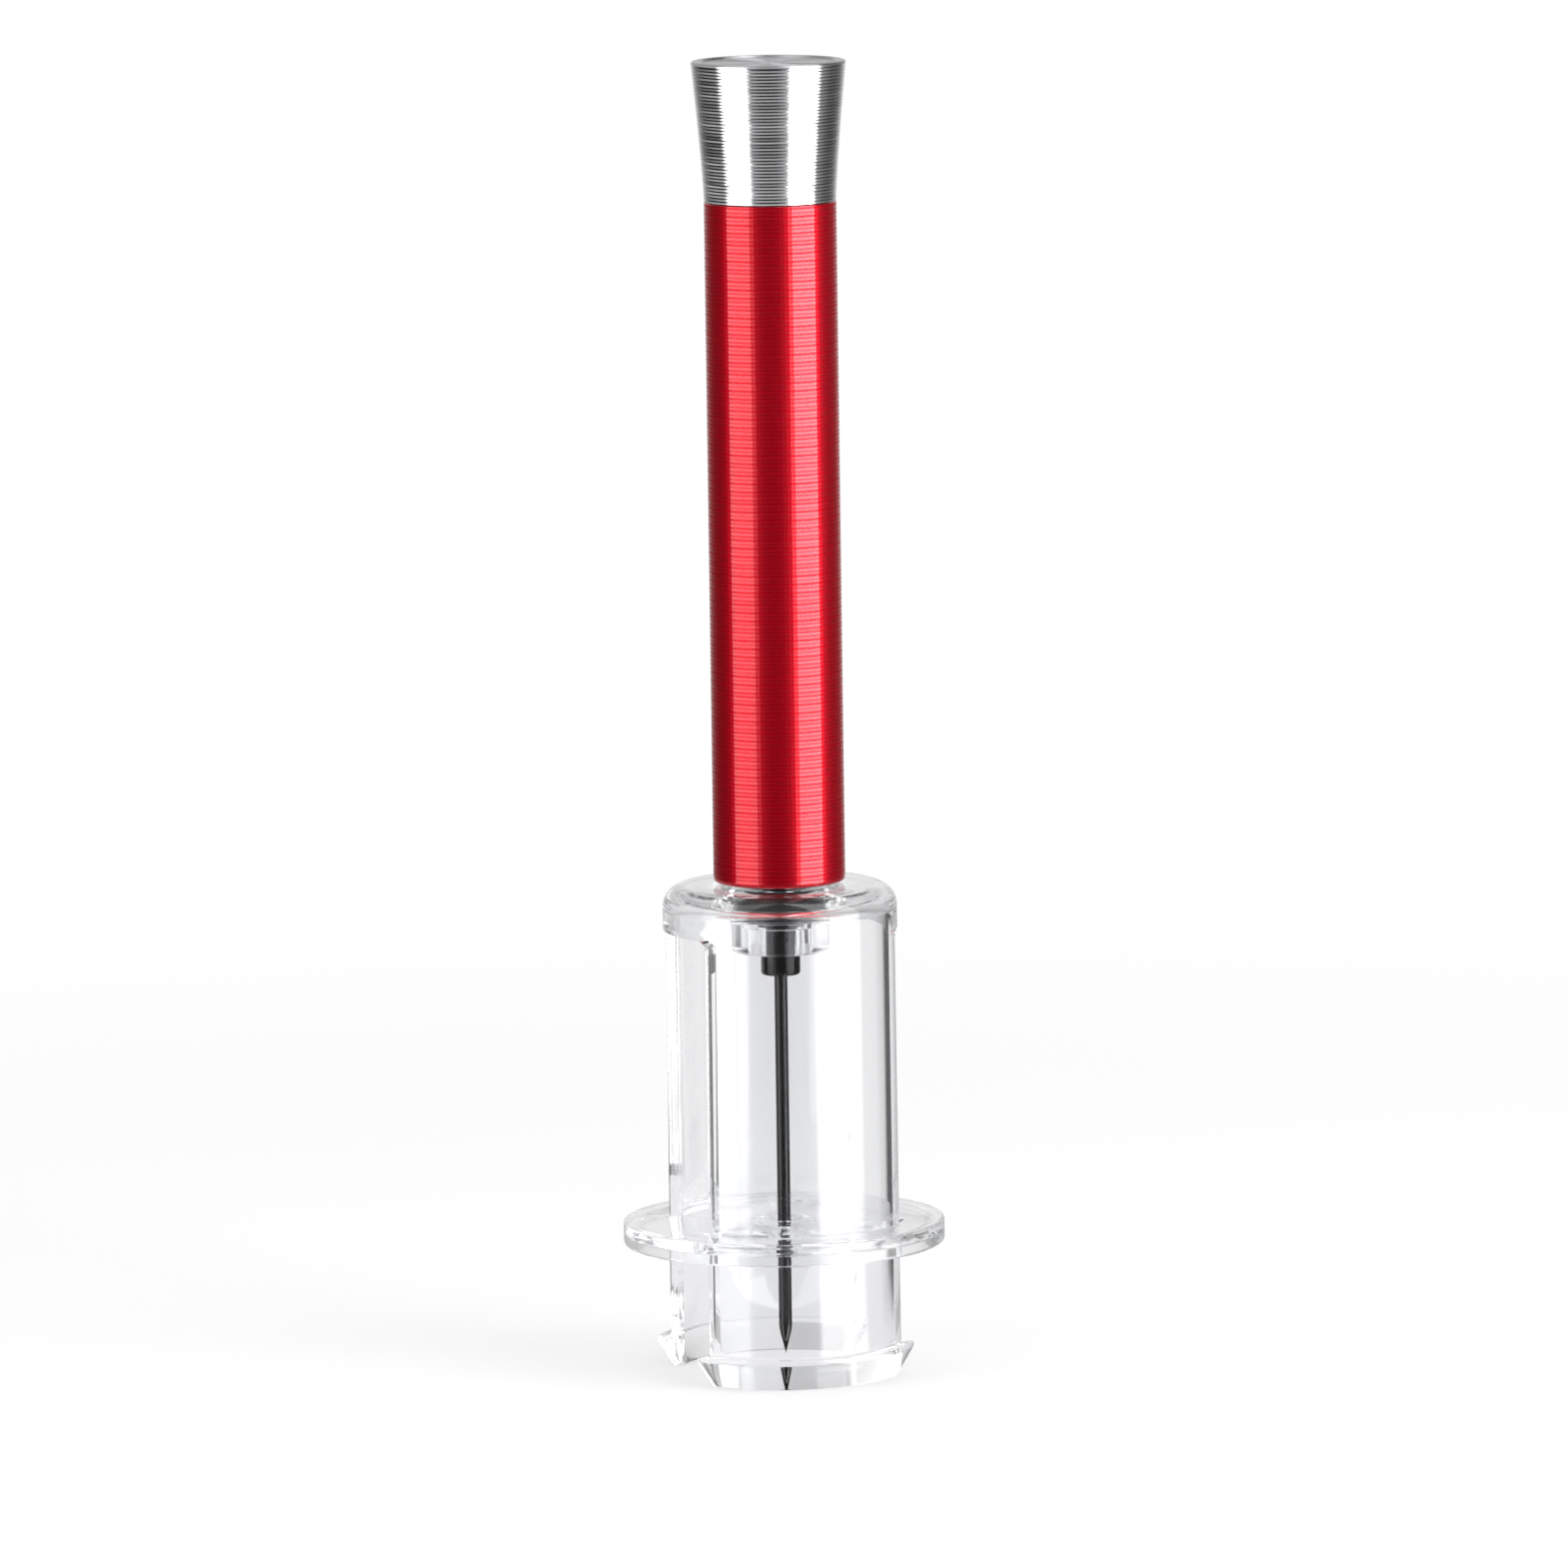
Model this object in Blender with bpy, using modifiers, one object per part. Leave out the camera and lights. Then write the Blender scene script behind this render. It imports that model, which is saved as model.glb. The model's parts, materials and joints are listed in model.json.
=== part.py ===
"""Air pump wine opener: a hand pump on a clear slotted sleeve, with a hollow needle and an ejector.

Lengths are in metres and +Z is up. It stands on the sleeve's rim at height zero, and every turned
piece is centred on the Z axis, which is also the axis of each joint. The slots face along X.
"""
import math

import bmesh
import bpy

# Gaps
CLEARANCE = 0.0003            # between pieces that touch on the real object
SEAL_CLEARANCE = 0.00015      # between a seal or a valve ball and what it closes on
SLEEVE_RUNNING_GAP = 0.0004   # between the ejector and the sleeve's walls
VALVE_AIR_GAP = 0.0005        # round the valve ball
FOOT_GAP = 0.0004             # between the handle tube and the sleeve's top
CUT_OVERRUN = 0.002           # how far a cutter runs past the faces that it cuts
WELD_DISTANCE = 0.00001       # closer points than this are one point

# Facets round a piece
WIDE_STEPS = 64
MIDDLE_STEPS = 48
SLIM_STEPS = 24
FINE_STEPS = 16

# Clear sleeve
SLEEVE_HEIGHT = 0.0749
SLEEVE_RIM_RADIUS = 0.01795
SLEEVE_DRAFT = 0.0002
SLEEVE_FOOT_INSET = 0.00045
SLEEVE_WALL = 0.00175
SLEEVE_ROOF = 0.0026
SHOULDER_FILLET = 0.0033
CEILING_FILLET = 0.0016
SLOT_WIDTH = 0.0186
SLOT_DROP = 0.0042
SLOT_CORNER = 0.0016
BARB_HEIGHT = 0.0048
BARB_LIP = 0.0008
BARB_REACH = 0.00175
BOSS_RADIUS = 0.0076
BOSS_DROP = 0.0076
BOSS_EDGE = 0.0005
ROOF_BORE_DEPTH = 0.0051

# Ejector
EJECTOR_TOP_Z = 0.0235
EJECTOR_FLANGE = 0.00645
EJECTOR_THICKNESS = 0.00355
EJECTOR_WEB = 0.002
EJECTOR_RIM_WIDTH = 0.0022
EJECTOR_RIM_EDGE = 0.0005
EJECTOR_HUB_RADIUS = 0.0047
EJECTOR_COLLAR_GAP = 0.00055
FUNNEL_RADIUS = 0.0031
FUNNEL_DEPTH = 0.0022

# Needle and its hub
HUB_HEAD_RADIUS = 0.0035
HUB_HEAD_HEIGHT = 0.001
HUB_NECK_RADIUS = 0.0022
HUB_COLLAR_RADIUS = 0.003
HUB_COLLAR_SHOWN = 0.0037
HUB_COLLAR_EDGE = 0.0004
NEEDLE_RADIUS = 0.001
NEEDLE_BORE_RADIUS = 0.0005
NEEDLE_HEAD_RADIUS = 0.0014
NEEDLE_HEAD_HEIGHT = 0.001
NEEDLE_HEAD_SEAT = 0.0033
NEEDLE_TIP_Z = 0.0025
NEEDLE_POINT = 0.004
NEEDLE_PORT_RADIUS = 0.00035
NEEDLE_PORT_RISE = 0.002
NEEDLE_BORE_END = 0.0008
GASKET_THICKNESS = 0.0008
GASKET_BORE_RADIUS = 0.0013

# Pump base and its valve
BASE_STUD_RADIUS = 0.005
BASE_FLANGE_GAP = 0.0006
BASE_FLANGE_THICKNESS = 0.0025
BASE_SPIGOT = 0.0063
O_RING_GROOVE_DEPTH = 0.0011
O_RING_GROOVE_WIDTH = 0.0019
O_RING_GROOVE_RISE = 0.002
SEAT_HOLE_RADIUS = 0.0008
SEAT_HOLE_LENGTH = 0.002
BALL_RADIUS = 0.0015
SPRING_RADIUS = 0.0012
SPRING_WIRE_RADIUS = 0.00015
SPRING_TURNS = 4
SPRING_POINTS_A_TURN = 10
SPRING_WIRE_RESOLUTION = 1
RETAINER_RADIUS = 0.0027
RETAINER_THICKNESS = 0.0022
RETAINER_HOLE_RADIUS = 0.0007

# Barrel
BARREL_WALL = 0.0012
BARREL_PLUG_GAP = 0.0004
TOP_BUSH_FLANGE = 0.002
TOP_BUSH_SPIGOT = 0.007

# Piston
PISTON_LENGTH = 0.01
PISTON_WALL = 0.0032
PISTON_GROOVE_RISE = 0.0011
PISTON_GROOVE_WIDTH = 0.0035
PISTON_GROOVE_DEPTH = 0.0014
PISTON_REST_GAP = 0.0006
CUP_LIP = 0.0004
CUP_NOTCH_DEPTH = 0.0016
CUP_BACK_INSET = 0.00025
PISTON_ROD_SOCKET = 0.0028
SHOULDER_RADIUS = 0.00175
SHOULDER_HEAD_RADIUS = 0.003
SHOULDER_HEAD_HEIGHT = 0.0024
PISTON_COUNTERBORE = 0.0036
PISTON_THREAD_RADIUS = 0.00125
PISTON_THREAD_LENGTH = 0.007

# Rod and its top screw
ROD_RADIUS = 0.0025
ROD_TAP_SPARE = 0.001
ROD_SCREW_RADIUS = 0.0015
ROD_SCREW_LENGTH = 0.0113
ROD_SCREW_HEAD_RADIUS = 0.00275
ROD_SCREW_HEAD_HEIGHT = 0.003
ROD_SCREW_SUNK = 0.0004
HEX_SOCKET_RADIUS = 0.0014
HEX_SOCKET_DEPTH = 0.0014

# Handle
TUBE_WALL = 0.001
TUBE_LENGTH = 0.10305
TUBE_EDGE = 0.0007
GUIDE_BUSH_LENGTH = 0.014
GUIDE_BUSH_WALL = 0.0009
PLUG_DEPTH = 0.01105
PLUG_BOSS_RADIUS = 0.0057
PLUG_BOSS_HEIGHT = 0.00865
PLUG_ROD_SHOULDER = 0.0027
CAP_HEIGHT = 0.0211
CAP_FLARE = 0.00168
CAP_TOP_EDGE = 0.0005
CAP_TOP_DISH = 0.0003
CAP_TOP_BAND = 0.0012
CAP_FLARE_POWER = 1.25
CAP_FLARE_POINTS = 7

# Heights that follow from the sizes
CEILING_Z = SLEEVE_HEIGHT - SLEEVE_ROOF
SLOT_TOP_Z = CEILING_Z - SLOT_DROP
BOSS_FOOT_Z = CEILING_Z - BOSS_DROP
ROOF_LEDGE_Z = SLEEVE_HEIGHT - ROOF_BORE_DEPTH
HUB_LEDGE_Z = ROOF_LEDGE_Z - HUB_HEAD_HEIGHT - CLEARANCE
HUB_FOOT_Z = BOSS_FOOT_Z - HUB_COLLAR_SHOWN
GASKET_Z = ROOF_LEDGE_Z + CLEARANCE
STUD_END_Z = GASKET_Z + GASKET_THICKNESS + CLEARANCE
BASE_FLANGE_Z = SLEEVE_HEIGHT + CLEARANCE
BARREL_SEAT_Z = BASE_FLANGE_Z + BASE_FLANGE_THICKNESS
BASE_TOP_Z = BARREL_SEAT_Z + BASE_SPIGOT
BARREL_Z = BARREL_SEAT_Z + CLEARANCE
PISTON_Z = BASE_TOP_Z + PISTON_REST_GAP
PISTON_TOP_Z = PISTON_Z + PISTON_LENGTH
ROD_Z = PISTON_TOP_Z - PISTON_ROD_SOCKET + CLEARANCE
TUBE_Z = SLEEVE_HEIGHT + FOOT_GAP
TUBE_TOP_Z = TUBE_Z + TUBE_LENGTH
CAP_Z = TUBE_TOP_Z + CLEARANCE
PLUG_Z = TUBE_TOP_Z - PLUG_DEPTH
PLUG_TOP_Z = TUBE_TOP_Z + PLUG_BOSS_HEIGHT
TOP_BUSH_FLANGE_Z = PLUG_Z - BARREL_PLUG_GAP - TOP_BUSH_FLANGE
BARREL_TOP_Z = TOP_BUSH_FLANGE_Z - CLEARANCE
ROD_SCREW_SEAT_Z = PLUG_TOP_Z - ROD_SCREW_SUNK - ROD_SCREW_HEAD_HEIGHT - CLEARANCE
ROD_TOP_Z = ROD_SCREW_SEAT_Z - PLUG_ROD_SHOULDER - CLEARANCE
EJECTOR_FOOT_Z = EJECTOR_TOP_Z - EJECTOR_THICKNESS

# Radii that follow from the sizes, from the rod outwards to the tube and its cap
ROD_BORE_RADIUS = ROD_RADIUS + CLEARANCE
SPIGOT_RADIUS = ROD_BORE_RADIUS + PISTON_WALL
BARREL_BORE_RADIUS = SPIGOT_RADIUS + CLEARANCE
BARREL_RADIUS = BARREL_BORE_RADIUS + BARREL_WALL
TUBE_FIT_RADIUS = BARREL_RADIUS + CLEARANCE + GUIDE_BUSH_WALL
TUBE_BORE_RADIUS = TUBE_FIT_RADIUS + CLEARANCE
TUBE_RADIUS = TUBE_BORE_RADIUS + TUBE_WALL
CAP_TOP_RADIUS = TUBE_RADIUS + CAP_FLARE
BASE_FLANGE_RADIUS = TUBE_BORE_RADIUS - BASE_FLANGE_GAP

# Other radii that follow from the sizes
ROD_TAP_RADIUS = ROD_SCREW_RADIUS + CLEARANCE
NEEDLE_HOLE_RADIUS = NEEDLE_RADIUS + CLEARANCE
CHAMBER_RADIUS = BALL_RADIUS + VALVE_AIR_GAP
SLEEVE_TOP_RADIUS = SLEEVE_RIM_RADIUS - SLEEVE_DRAFT
SLEEVE_BORE_TOP_RADIUS = SLEEVE_TOP_RADIUS - SLEEVE_WALL
SLEEVE_BORE_RIM_RADIUS = SLEEVE_RIM_RADIUS - SLEEVE_WALL
BARB_TIP_RADIUS = SLEEVE_RIM_RADIUS + BARB_REACH
EJECTOR_RADIUS = SLEEVE_RIM_RADIUS + EJECTOR_FLANGE

# The valve's conical seat runs at 45 degrees down from the seat hole
SEAT_TOP_Z = BASE_TOP_Z - SEAT_HOLE_LENGTH
SEAT_FOOT_Z = SEAT_TOP_Z - (CHAMBER_RADIUS - SEAT_HOLE_RADIUS)
BALL_Z = SEAT_TOP_Z + SEAT_HOLE_RADIUS - (BALL_RADIUS + SEAL_CLEARANCE) * math.sqrt(2)
RETAINER_Z = STUD_END_Z + CLEARANCE
RETAINER_LEDGE_Z = RETAINER_Z + RETAINER_THICKNESS + CLEARANCE

# Names, colours (linear RGB), roughness and metallic value of the finishes
FINISHES = {
    "turned_aluminium": ((0.78, 0.78, 0.80), 0.28, 1.0),
    "red_anodised": ((0.45, 0.01, 0.02), 0.32, 1.0),
    "clear_plastic": ((0.92, 0.94, 0.96), 0.05, 0.0),
    "black_plastic": ((0.02, 0.02, 0.022), 0.35, 0.0),
    "black_coated_steel": ((0.03, 0.03, 0.032), 0.3, 0.6),
    "white_plastic": ((0.8, 0.8, 0.78), 0.4, 0.0),
    "bare_steel": ((0.6, 0.6, 0.62), 0.25, 1.0),
    "black_rubber": ((0.015, 0.015, 0.015), 0.7, 0.0),
}


def clear_scene():
    """Remove what the scene holds at the start."""
    for item in list(bpy.data.objects):
        bpy.data.objects.remove(item, do_unlink=True)


def new_collection(name):
    """Add a collection to the scene."""
    collection = bpy.data.collections.new(name)
    bpy.context.scene.collection.children.link(collection)
    return collection


def new_material(name, finish):
    """Add a Principled material for one node in a named finish."""
    colour, roughness, metallic = FINISHES[finish]
    material = bpy.data.materials.new(name)
    material.use_nodes = True
    shader = material.node_tree.nodes["Principled BSDF"]
    shader.inputs["Base Color"].default_value = (*colour, 1)
    shader.inputs["Roughness"].default_value = roughness
    shader.inputs["Metallic"].default_value = metallic
    material.diffuse_color = (*colour, 1)
    return material


def new_axis(name, height, parent=None):
    """Add an empty on a joint's axis, at a height of the whole object."""
    axis = bpy.data.objects.new(name, None)
    PARTS.objects.link(axis)
    place(axis, height, parent)
    return axis


def place(item, height, parent=None):
    """Set an object on the Z axis at a height of the whole object, under its parent."""
    base = 0
    if parent:
        item.parent = parent
        base = parent["height"]
    item.location.z = height - base
    item["height"] = height


def arc(centre, radius, start, end, count):
    """Points of a round stretch of an outline, from one angle to another, in degrees."""
    points = []
    for step in range(count):
        angle = math.radians(start + (end - start) * step / (count - 1))
        points.append((centre[0] + radius * math.cos(angle), centre[1] + radius * math.sin(angle)))
    return points


def lowered(outline, height):
    """An outline in heights of the whole object, measured from a piece's own base instead."""
    return [(radius, z - height) for radius, z in outline]


def baked(item):
    """Apply an object's modifiers, then shade it smooth between its sharp edges."""
    graph = bpy.context.evaluated_depsgraph_get()
    mesh = bpy.data.meshes.new_from_object(item.evaluated_get(graph))
    item.modifiers.clear()
    item.data = mesh
    mesh.name = item.name
    mesh.shade_smooth()
    mesh.set_sharp_from_angle(angle=math.radians(32))
    return item


def turned(name, outline, steps, collection):
    """Turn an outline of (radius, height) points round Z; one that ends on the axis is left open."""
    points = [(radius, 0, height) for radius, height in outline]
    edges = [(index, index + 1) for index in range(len(points) - 1)]
    if outline[0][0] > 0:
        edges.append((len(points) - 1, 0))
    mesh = bpy.data.meshes.new(name)
    mesh.from_pydata(points, edges, [])
    item = bpy.data.objects.new(name, mesh)
    collection.objects.link(item)
    screw = item.modifiers.new("turn", "SCREW")
    screw.axis = "Z"
    screw.angle = 2 * math.pi
    screw.steps = steps
    screw.render_steps = steps
    screw.use_merge_vertices = True
    screw.merge_threshold = WELD_DISTANCE
    return baked(item)


def turned_piece(name, outline, steps, finish, height, parent=None):
    """A turned node, given in heights of the whole object and placed at its own base."""
    item = turned(name, lowered(outline, height), steps, PARTS)
    item.data.materials.append(new_material(name, finish))
    place(item, height, parent)
    return item


def as_cutter(item):
    """Show an object as a wire only, and keep it out of renders."""
    item.display_type = "WIRE"
    item.hide_render = True
    return item


def box_cutter(name, low, high):
    """A box between two corners."""
    mesh = bpy.data.meshes.new(name)
    shape = bmesh.new()
    bmesh.ops.create_cube(shape, size=1)
    for axis in range(3):
        for vertex in shape.verts:
            middle = (low[axis] + high[axis]) / 2
            vertex.co[axis] = middle + vertex.co[axis] * (high[axis] - low[axis])
    shape.to_mesh(mesh)
    shape.free()
    item = bpy.data.objects.new(name, mesh)
    CUTTERS.objects.link(item)
    return as_cutter(item)


def prism_cutter(name, radius, length, sides, centre, along_x=False):
    """A prism or a drill of a given length, centred at a point, along Z or along X."""
    mesh = bpy.data.meshes.new(name)
    shape = bmesh.new()
    bmesh.ops.create_cone(shape, cap_ends=True, segments=sides, radius1=radius, radius2=radius,
                          depth=length)
    shape.to_mesh(mesh)
    shape.free()
    item = bpy.data.objects.new(name, mesh)
    CUTTERS.objects.link(item)
    item.location = centre
    if along_x:
        item.rotation_euler.y = math.pi / 2
    return as_cutter(item)


def cut(item, cutter):
    """Cut one object with another."""
    boolean = item.modifiers.new(cutter.name, "BOOLEAN")
    boolean.operation = "DIFFERENCE"
    boolean.solver = "EXACT"
    boolean.object = cutter
    return item


def build_clear_sleeve():
    """Clear sleeve: roof with a boss under it, two slots open at the bottom, and a barbed rim."""
    head_bore = HUB_HEAD_RADIUS + CLEARANCE
    collar_bore = HUB_COLLAR_RADIUS + CLEARANCE
    roof_bore = BASE_STUD_RADIUS + CLEARANCE
    shoulder = (SLEEVE_TOP_RADIUS - SHOULDER_FILLET, SLEEVE_HEIGHT - SHOULDER_FILLET)
    ceiling = (SLEEVE_BORE_TOP_RADIUS - CEILING_FILLET, CEILING_Z - CEILING_FILLET)
    outline = [(roof_bore, SLEEVE_HEIGHT)]
    outline += arc(shoulder, SHOULDER_FILLET, 90, 0, 6)
    outline += [
        (SLEEVE_RIM_RADIUS, BARB_HEIGHT),
        (BARB_TIP_RADIUS, BARB_HEIGHT),
        (BARB_TIP_RADIUS, BARB_HEIGHT - BARB_LIP),
        (SLEEVE_RIM_RADIUS - SLEEVE_FOOT_INSET, 0),
        (SLEEVE_BORE_RIM_RADIUS, 0),
    ]
    outline += arc(ceiling, CEILING_FILLET, 0, 90, 5)
    outline += [
        (BOSS_RADIUS, CEILING_Z),
        (BOSS_RADIUS, BOSS_FOOT_Z + BOSS_EDGE),
        (BOSS_RADIUS - BOSS_EDGE, BOSS_FOOT_Z),
        (collar_bore, BOSS_FOOT_Z),
        (collar_bore, HUB_LEDGE_Z),
        (head_bore, HUB_LEDGE_Z),
        (head_bore, ROOF_LEDGE_Z),
        (roof_bore, ROOF_LEDGE_Z),
    ]
    sleeve = turned_piece("clear_sleeve", outline, WIDE_STEPS, "clear_plastic", 0)

    slot = box_cutter(
        "sleeve_slots",
        (BOSS_RADIUS + CUT_OVERRUN, -SLOT_WIDTH / 2, -CUT_OVERRUN),
        (BARB_TIP_RADIUS + CUT_OVERRUN, SLOT_WIDTH / 2, SLOT_TOP_Z),
    )
    round_slot_corners(slot)
    mirror = slot.modifiers.new("opposite slot", "MIRROR")
    mirror.use_axis = (True, False, False)
    mirror.use_mirror_merge = False
    return cut(sleeve, slot)


def round_slot_corners(slot):
    """Bevel the slot cutter's two top edges that run through the wall."""
    weights = slot.data.attributes.new("bevel_weight_edge", "FLOAT", "EDGE")
    for edge in slot.data.edges:
        first, second = (slot.data.vertices[index].co for index in edge.vertices)
        along_x = first.y == second.y and first.z == second.z
        weights.data[edge.index].value = 1 if along_x and first.z > 0 else 0
    bevel = slot.modifiers.new("slot corners", "BEVEL")
    bevel.limit_method = "WEIGHT"
    bevel.width = SLOT_CORNER
    bevel.segments = 4


def build_ejector_disc(axis):
    """Ejector: a rim outside the sleeve and a disc inside it, joined by two tabs in the slots."""
    top = EJECTOR_TOP_Z
    web_foot = top - EJECTOR_WEB
    rim_inside = EJECTOR_RADIUS - EJECTOR_RIM_WIDTH
    outline = [
        (FUNNEL_RADIUS, top),
        (EJECTOR_RADIUS - EJECTOR_RIM_EDGE, top),
        (EJECTOR_RADIUS, top - EJECTOR_RIM_EDGE),
        (EJECTOR_RADIUS, EJECTOR_FOOT_Z + EJECTOR_RIM_EDGE),
        (EJECTOR_RADIUS - EJECTOR_RIM_EDGE, EJECTOR_FOOT_Z),
        (rim_inside, EJECTOR_FOOT_Z),
        (rim_inside, web_foot),
        (EJECTOR_HUB_RADIUS, web_foot),
        (EJECTOR_HUB_RADIUS, EJECTOR_FOOT_Z),
        (NEEDLE_HOLE_RADIUS, EJECTOR_FOOT_Z),
        (NEEDLE_HOLE_RADIUS, top - FUNNEL_DEPTH),
    ]
    disc = turned_piece("ejector_disc", outline, WIDE_STEPS, "clear_plastic", EJECTOR_FOOT_Z, axis)

    inner = SLEEVE_BORE_TOP_RADIUS - SLEEVE_RUNNING_GAP
    outer = SLEEVE_RIM_RADIUS + EJECTOR_COLLAR_GAP
    low = EJECTOR_FOOT_Z - CUT_OVERRUN
    high = top + CUT_OVERRUN
    ring = turned("ejector_wall_gap", [(inner, high), (outer, high), (outer, low), (inner, low)],
                  WIDE_STEPS, CUTTERS)
    tab_half = SLOT_WIDTH / 2 - CLEARANCE
    reach = outer + CUT_OVERRUN
    tabs = box_cutter("ejector_tabs", (-reach, -tab_half, low - CUT_OVERRUN),
                      (reach, tab_half, high + CUT_OVERRUN))
    cut(as_cutter(ring), tabs)
    return cut(disc, ring)


def build_needle_hub():
    """Black hub: its head rests on a ledge in the boss, and its collar shows under it."""
    head_top = HUB_LEDGE_Z + CLEARANCE + HUB_HEAD_HEIGHT
    head_foot = head_top - HUB_HEAD_HEIGHT
    seat = head_top - NEEDLE_HEAD_SEAT
    pocket = NEEDLE_HEAD_RADIUS + CLEARANCE
    collar_top = BOSS_FOOT_Z - CLEARANCE
    outline = [
        (pocket, head_top),
        (HUB_HEAD_RADIUS, head_top),
        (HUB_HEAD_RADIUS, head_foot),
        (HUB_NECK_RADIUS, head_foot),
        (HUB_NECK_RADIUS, collar_top),
        (HUB_COLLAR_RADIUS, collar_top),
        (HUB_COLLAR_RADIUS, HUB_FOOT_Z + HUB_COLLAR_EDGE),
        (HUB_COLLAR_RADIUS - HUB_COLLAR_EDGE, HUB_FOOT_Z),
        (NEEDLE_HOLE_RADIUS, HUB_FOOT_Z),
        (NEEDLE_HOLE_RADIUS, seat),
        (pocket, seat),
    ]
    return turned_piece("needle_hub", outline, SLIM_STEPS, "black_plastic", HUB_FOOT_Z)


def build_needle():
    """Hollow needle with a head in the hub, a solid point and a cross port above the point."""
    head_foot = HUB_LEDGE_Z + CLEARANCE + HUB_HEAD_HEIGHT - NEEDLE_HEAD_SEAT + CLEARANCE
    head_top = head_foot + NEEDLE_HEAD_HEIGHT
    point_top = NEEDLE_TIP_Z + NEEDLE_POINT
    port = point_top + NEEDLE_PORT_RISE
    bore_end = port - NEEDLE_BORE_END
    outline = [
        (0, bore_end),
        (NEEDLE_BORE_RADIUS, bore_end),
        (NEEDLE_BORE_RADIUS, head_top),
        (NEEDLE_HEAD_RADIUS, head_top),
        (NEEDLE_HEAD_RADIUS, head_foot),
        (NEEDLE_RADIUS, head_foot),
        (NEEDLE_RADIUS, point_top),
        (0, NEEDLE_TIP_Z),
    ]
    needle = turned_piece("needle", outline, FINE_STEPS, "black_coated_steel", NEEDLE_TIP_Z)
    drill = prism_cutter("needle_port", NEEDLE_PORT_RADIUS, 2 * (NEEDLE_RADIUS + CUT_OVERRUN),
                         FINE_STEPS, (0, 0, port), along_x=True)
    return cut(needle, drill)


def build_hub_gasket():
    """Sealing washer between the pump base's stud and the needle hub."""
    top = GASKET_Z + GASKET_THICKNESS
    outline = [
        (GASKET_BORE_RADIUS, top),
        (BASE_STUD_RADIUS, top),
        (BASE_STUD_RADIUS, GASKET_Z),
        (GASKET_BORE_RADIUS, GASKET_Z),
    ]
    return turned_piece("hub_gasket", outline, SLIM_STEPS, "black_rubber", GASKET_Z)


def build_pump_base():
    """End plug of the barrel: spigot, flange on the sleeve's roof, stud in it and valve chamber."""
    groove_foot = BARREL_SEAT_Z + O_RING_GROOVE_RISE
    groove_top = groove_foot + O_RING_GROOVE_WIDTH
    groove_radius = SPIGOT_RADIUS - O_RING_GROOVE_DEPTH
    retainer_bore = RETAINER_RADIUS + CLEARANCE
    outline = [
        (SEAT_HOLE_RADIUS, BASE_TOP_Z),
        (SPIGOT_RADIUS, BASE_TOP_Z),
        (SPIGOT_RADIUS, groove_top),
        (groove_radius, groove_top),
        (groove_radius, groove_foot),
        (SPIGOT_RADIUS, groove_foot),
        (SPIGOT_RADIUS, BARREL_SEAT_Z),
        (BASE_FLANGE_RADIUS, BARREL_SEAT_Z),
        (BASE_FLANGE_RADIUS, BASE_FLANGE_Z),
        (BASE_STUD_RADIUS, BASE_FLANGE_Z),
        (BASE_STUD_RADIUS, STUD_END_Z),
        (retainer_bore, STUD_END_Z),
        (retainer_bore, RETAINER_LEDGE_Z),
        (CHAMBER_RADIUS, RETAINER_LEDGE_Z),
        (CHAMBER_RADIUS, SEAT_FOOT_Z),
        (SEAT_HOLE_RADIUS, SEAT_TOP_Z),
    ]
    return turned_piece("pump_base", outline, SLIM_STEPS, "black_plastic", BASE_FLANGE_Z)


def build_base_o_ring():
    """O-ring in the spigot's groove, against the barrel's bore."""
    groove_radius = SPIGOT_RADIUS - O_RING_GROOVE_DEPTH
    height = BARREL_SEAT_Z + O_RING_GROOVE_RISE + O_RING_GROOVE_WIDTH / 2
    middle = (groove_radius + BARREL_BORE_RADIUS) / 2
    section = (BARREL_BORE_RADIUS - groove_radius) / 2 - SEAL_CLEARANCE
    outline = arc((middle, height), section, 90, -225, 8)
    return turned_piece("base_o_ring", outline, SLIM_STEPS, "black_rubber", height)


def build_valve_ball(axis):
    """Ball of the one-way valve, under its conical seat."""
    outline = [(0, BALL_Z + BALL_RADIUS)]
    outline += arc((0, BALL_Z), BALL_RADIUS, 90, -90, 9)[1:-1]
    outline += [(0, BALL_Z - BALL_RADIUS)]
    return turned_piece("valve_ball", outline, FINE_STEPS, "bare_steel", BALL_Z, axis)


def build_valve_spring(axis):
    """Coil spring from the retainer up to the ball, as one unbroken tube."""
    low = RETAINER_LEDGE_Z + SPRING_WIRE_RADIUS
    reach = BALL_RADIUS + SPRING_WIRE_RADIUS + SEAL_CLEARANCE
    high = BALL_Z - math.sqrt(reach ** 2 - SPRING_RADIUS ** 2)
    count = SPRING_TURNS * SPRING_POINTS_A_TURN + 1
    curve = bpy.data.curves.new("valve_spring", "CURVE")
    curve.dimensions = "3D"
    curve.bevel_depth = SPRING_WIRE_RADIUS
    curve.bevel_resolution = SPRING_WIRE_RESOLUTION
    curve.use_fill_caps = True
    spline = curve.splines.new("POLY")
    spline.points.add(count - 1)
    for index, point in enumerate(spline.points):
        angle = 2 * math.pi * index / SPRING_POINTS_A_TURN
        rise = (high - low) * index / (count - 1)
        point.co = (SPRING_RADIUS * math.cos(angle), SPRING_RADIUS * math.sin(angle), rise, 1)
    spring = bpy.data.objects.new("valve_spring", curve)
    PARTS.objects.link(spring)
    curve.materials.append(new_material("valve_spring", "bare_steel"))
    place(spring, low, axis)
    pitch = (high - low) / SPRING_TURNS
    print("valve spring's least gap between turns:", round(pitch - 2 * SPRING_WIRE_RADIUS, 6), "m")
    return spring


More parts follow.
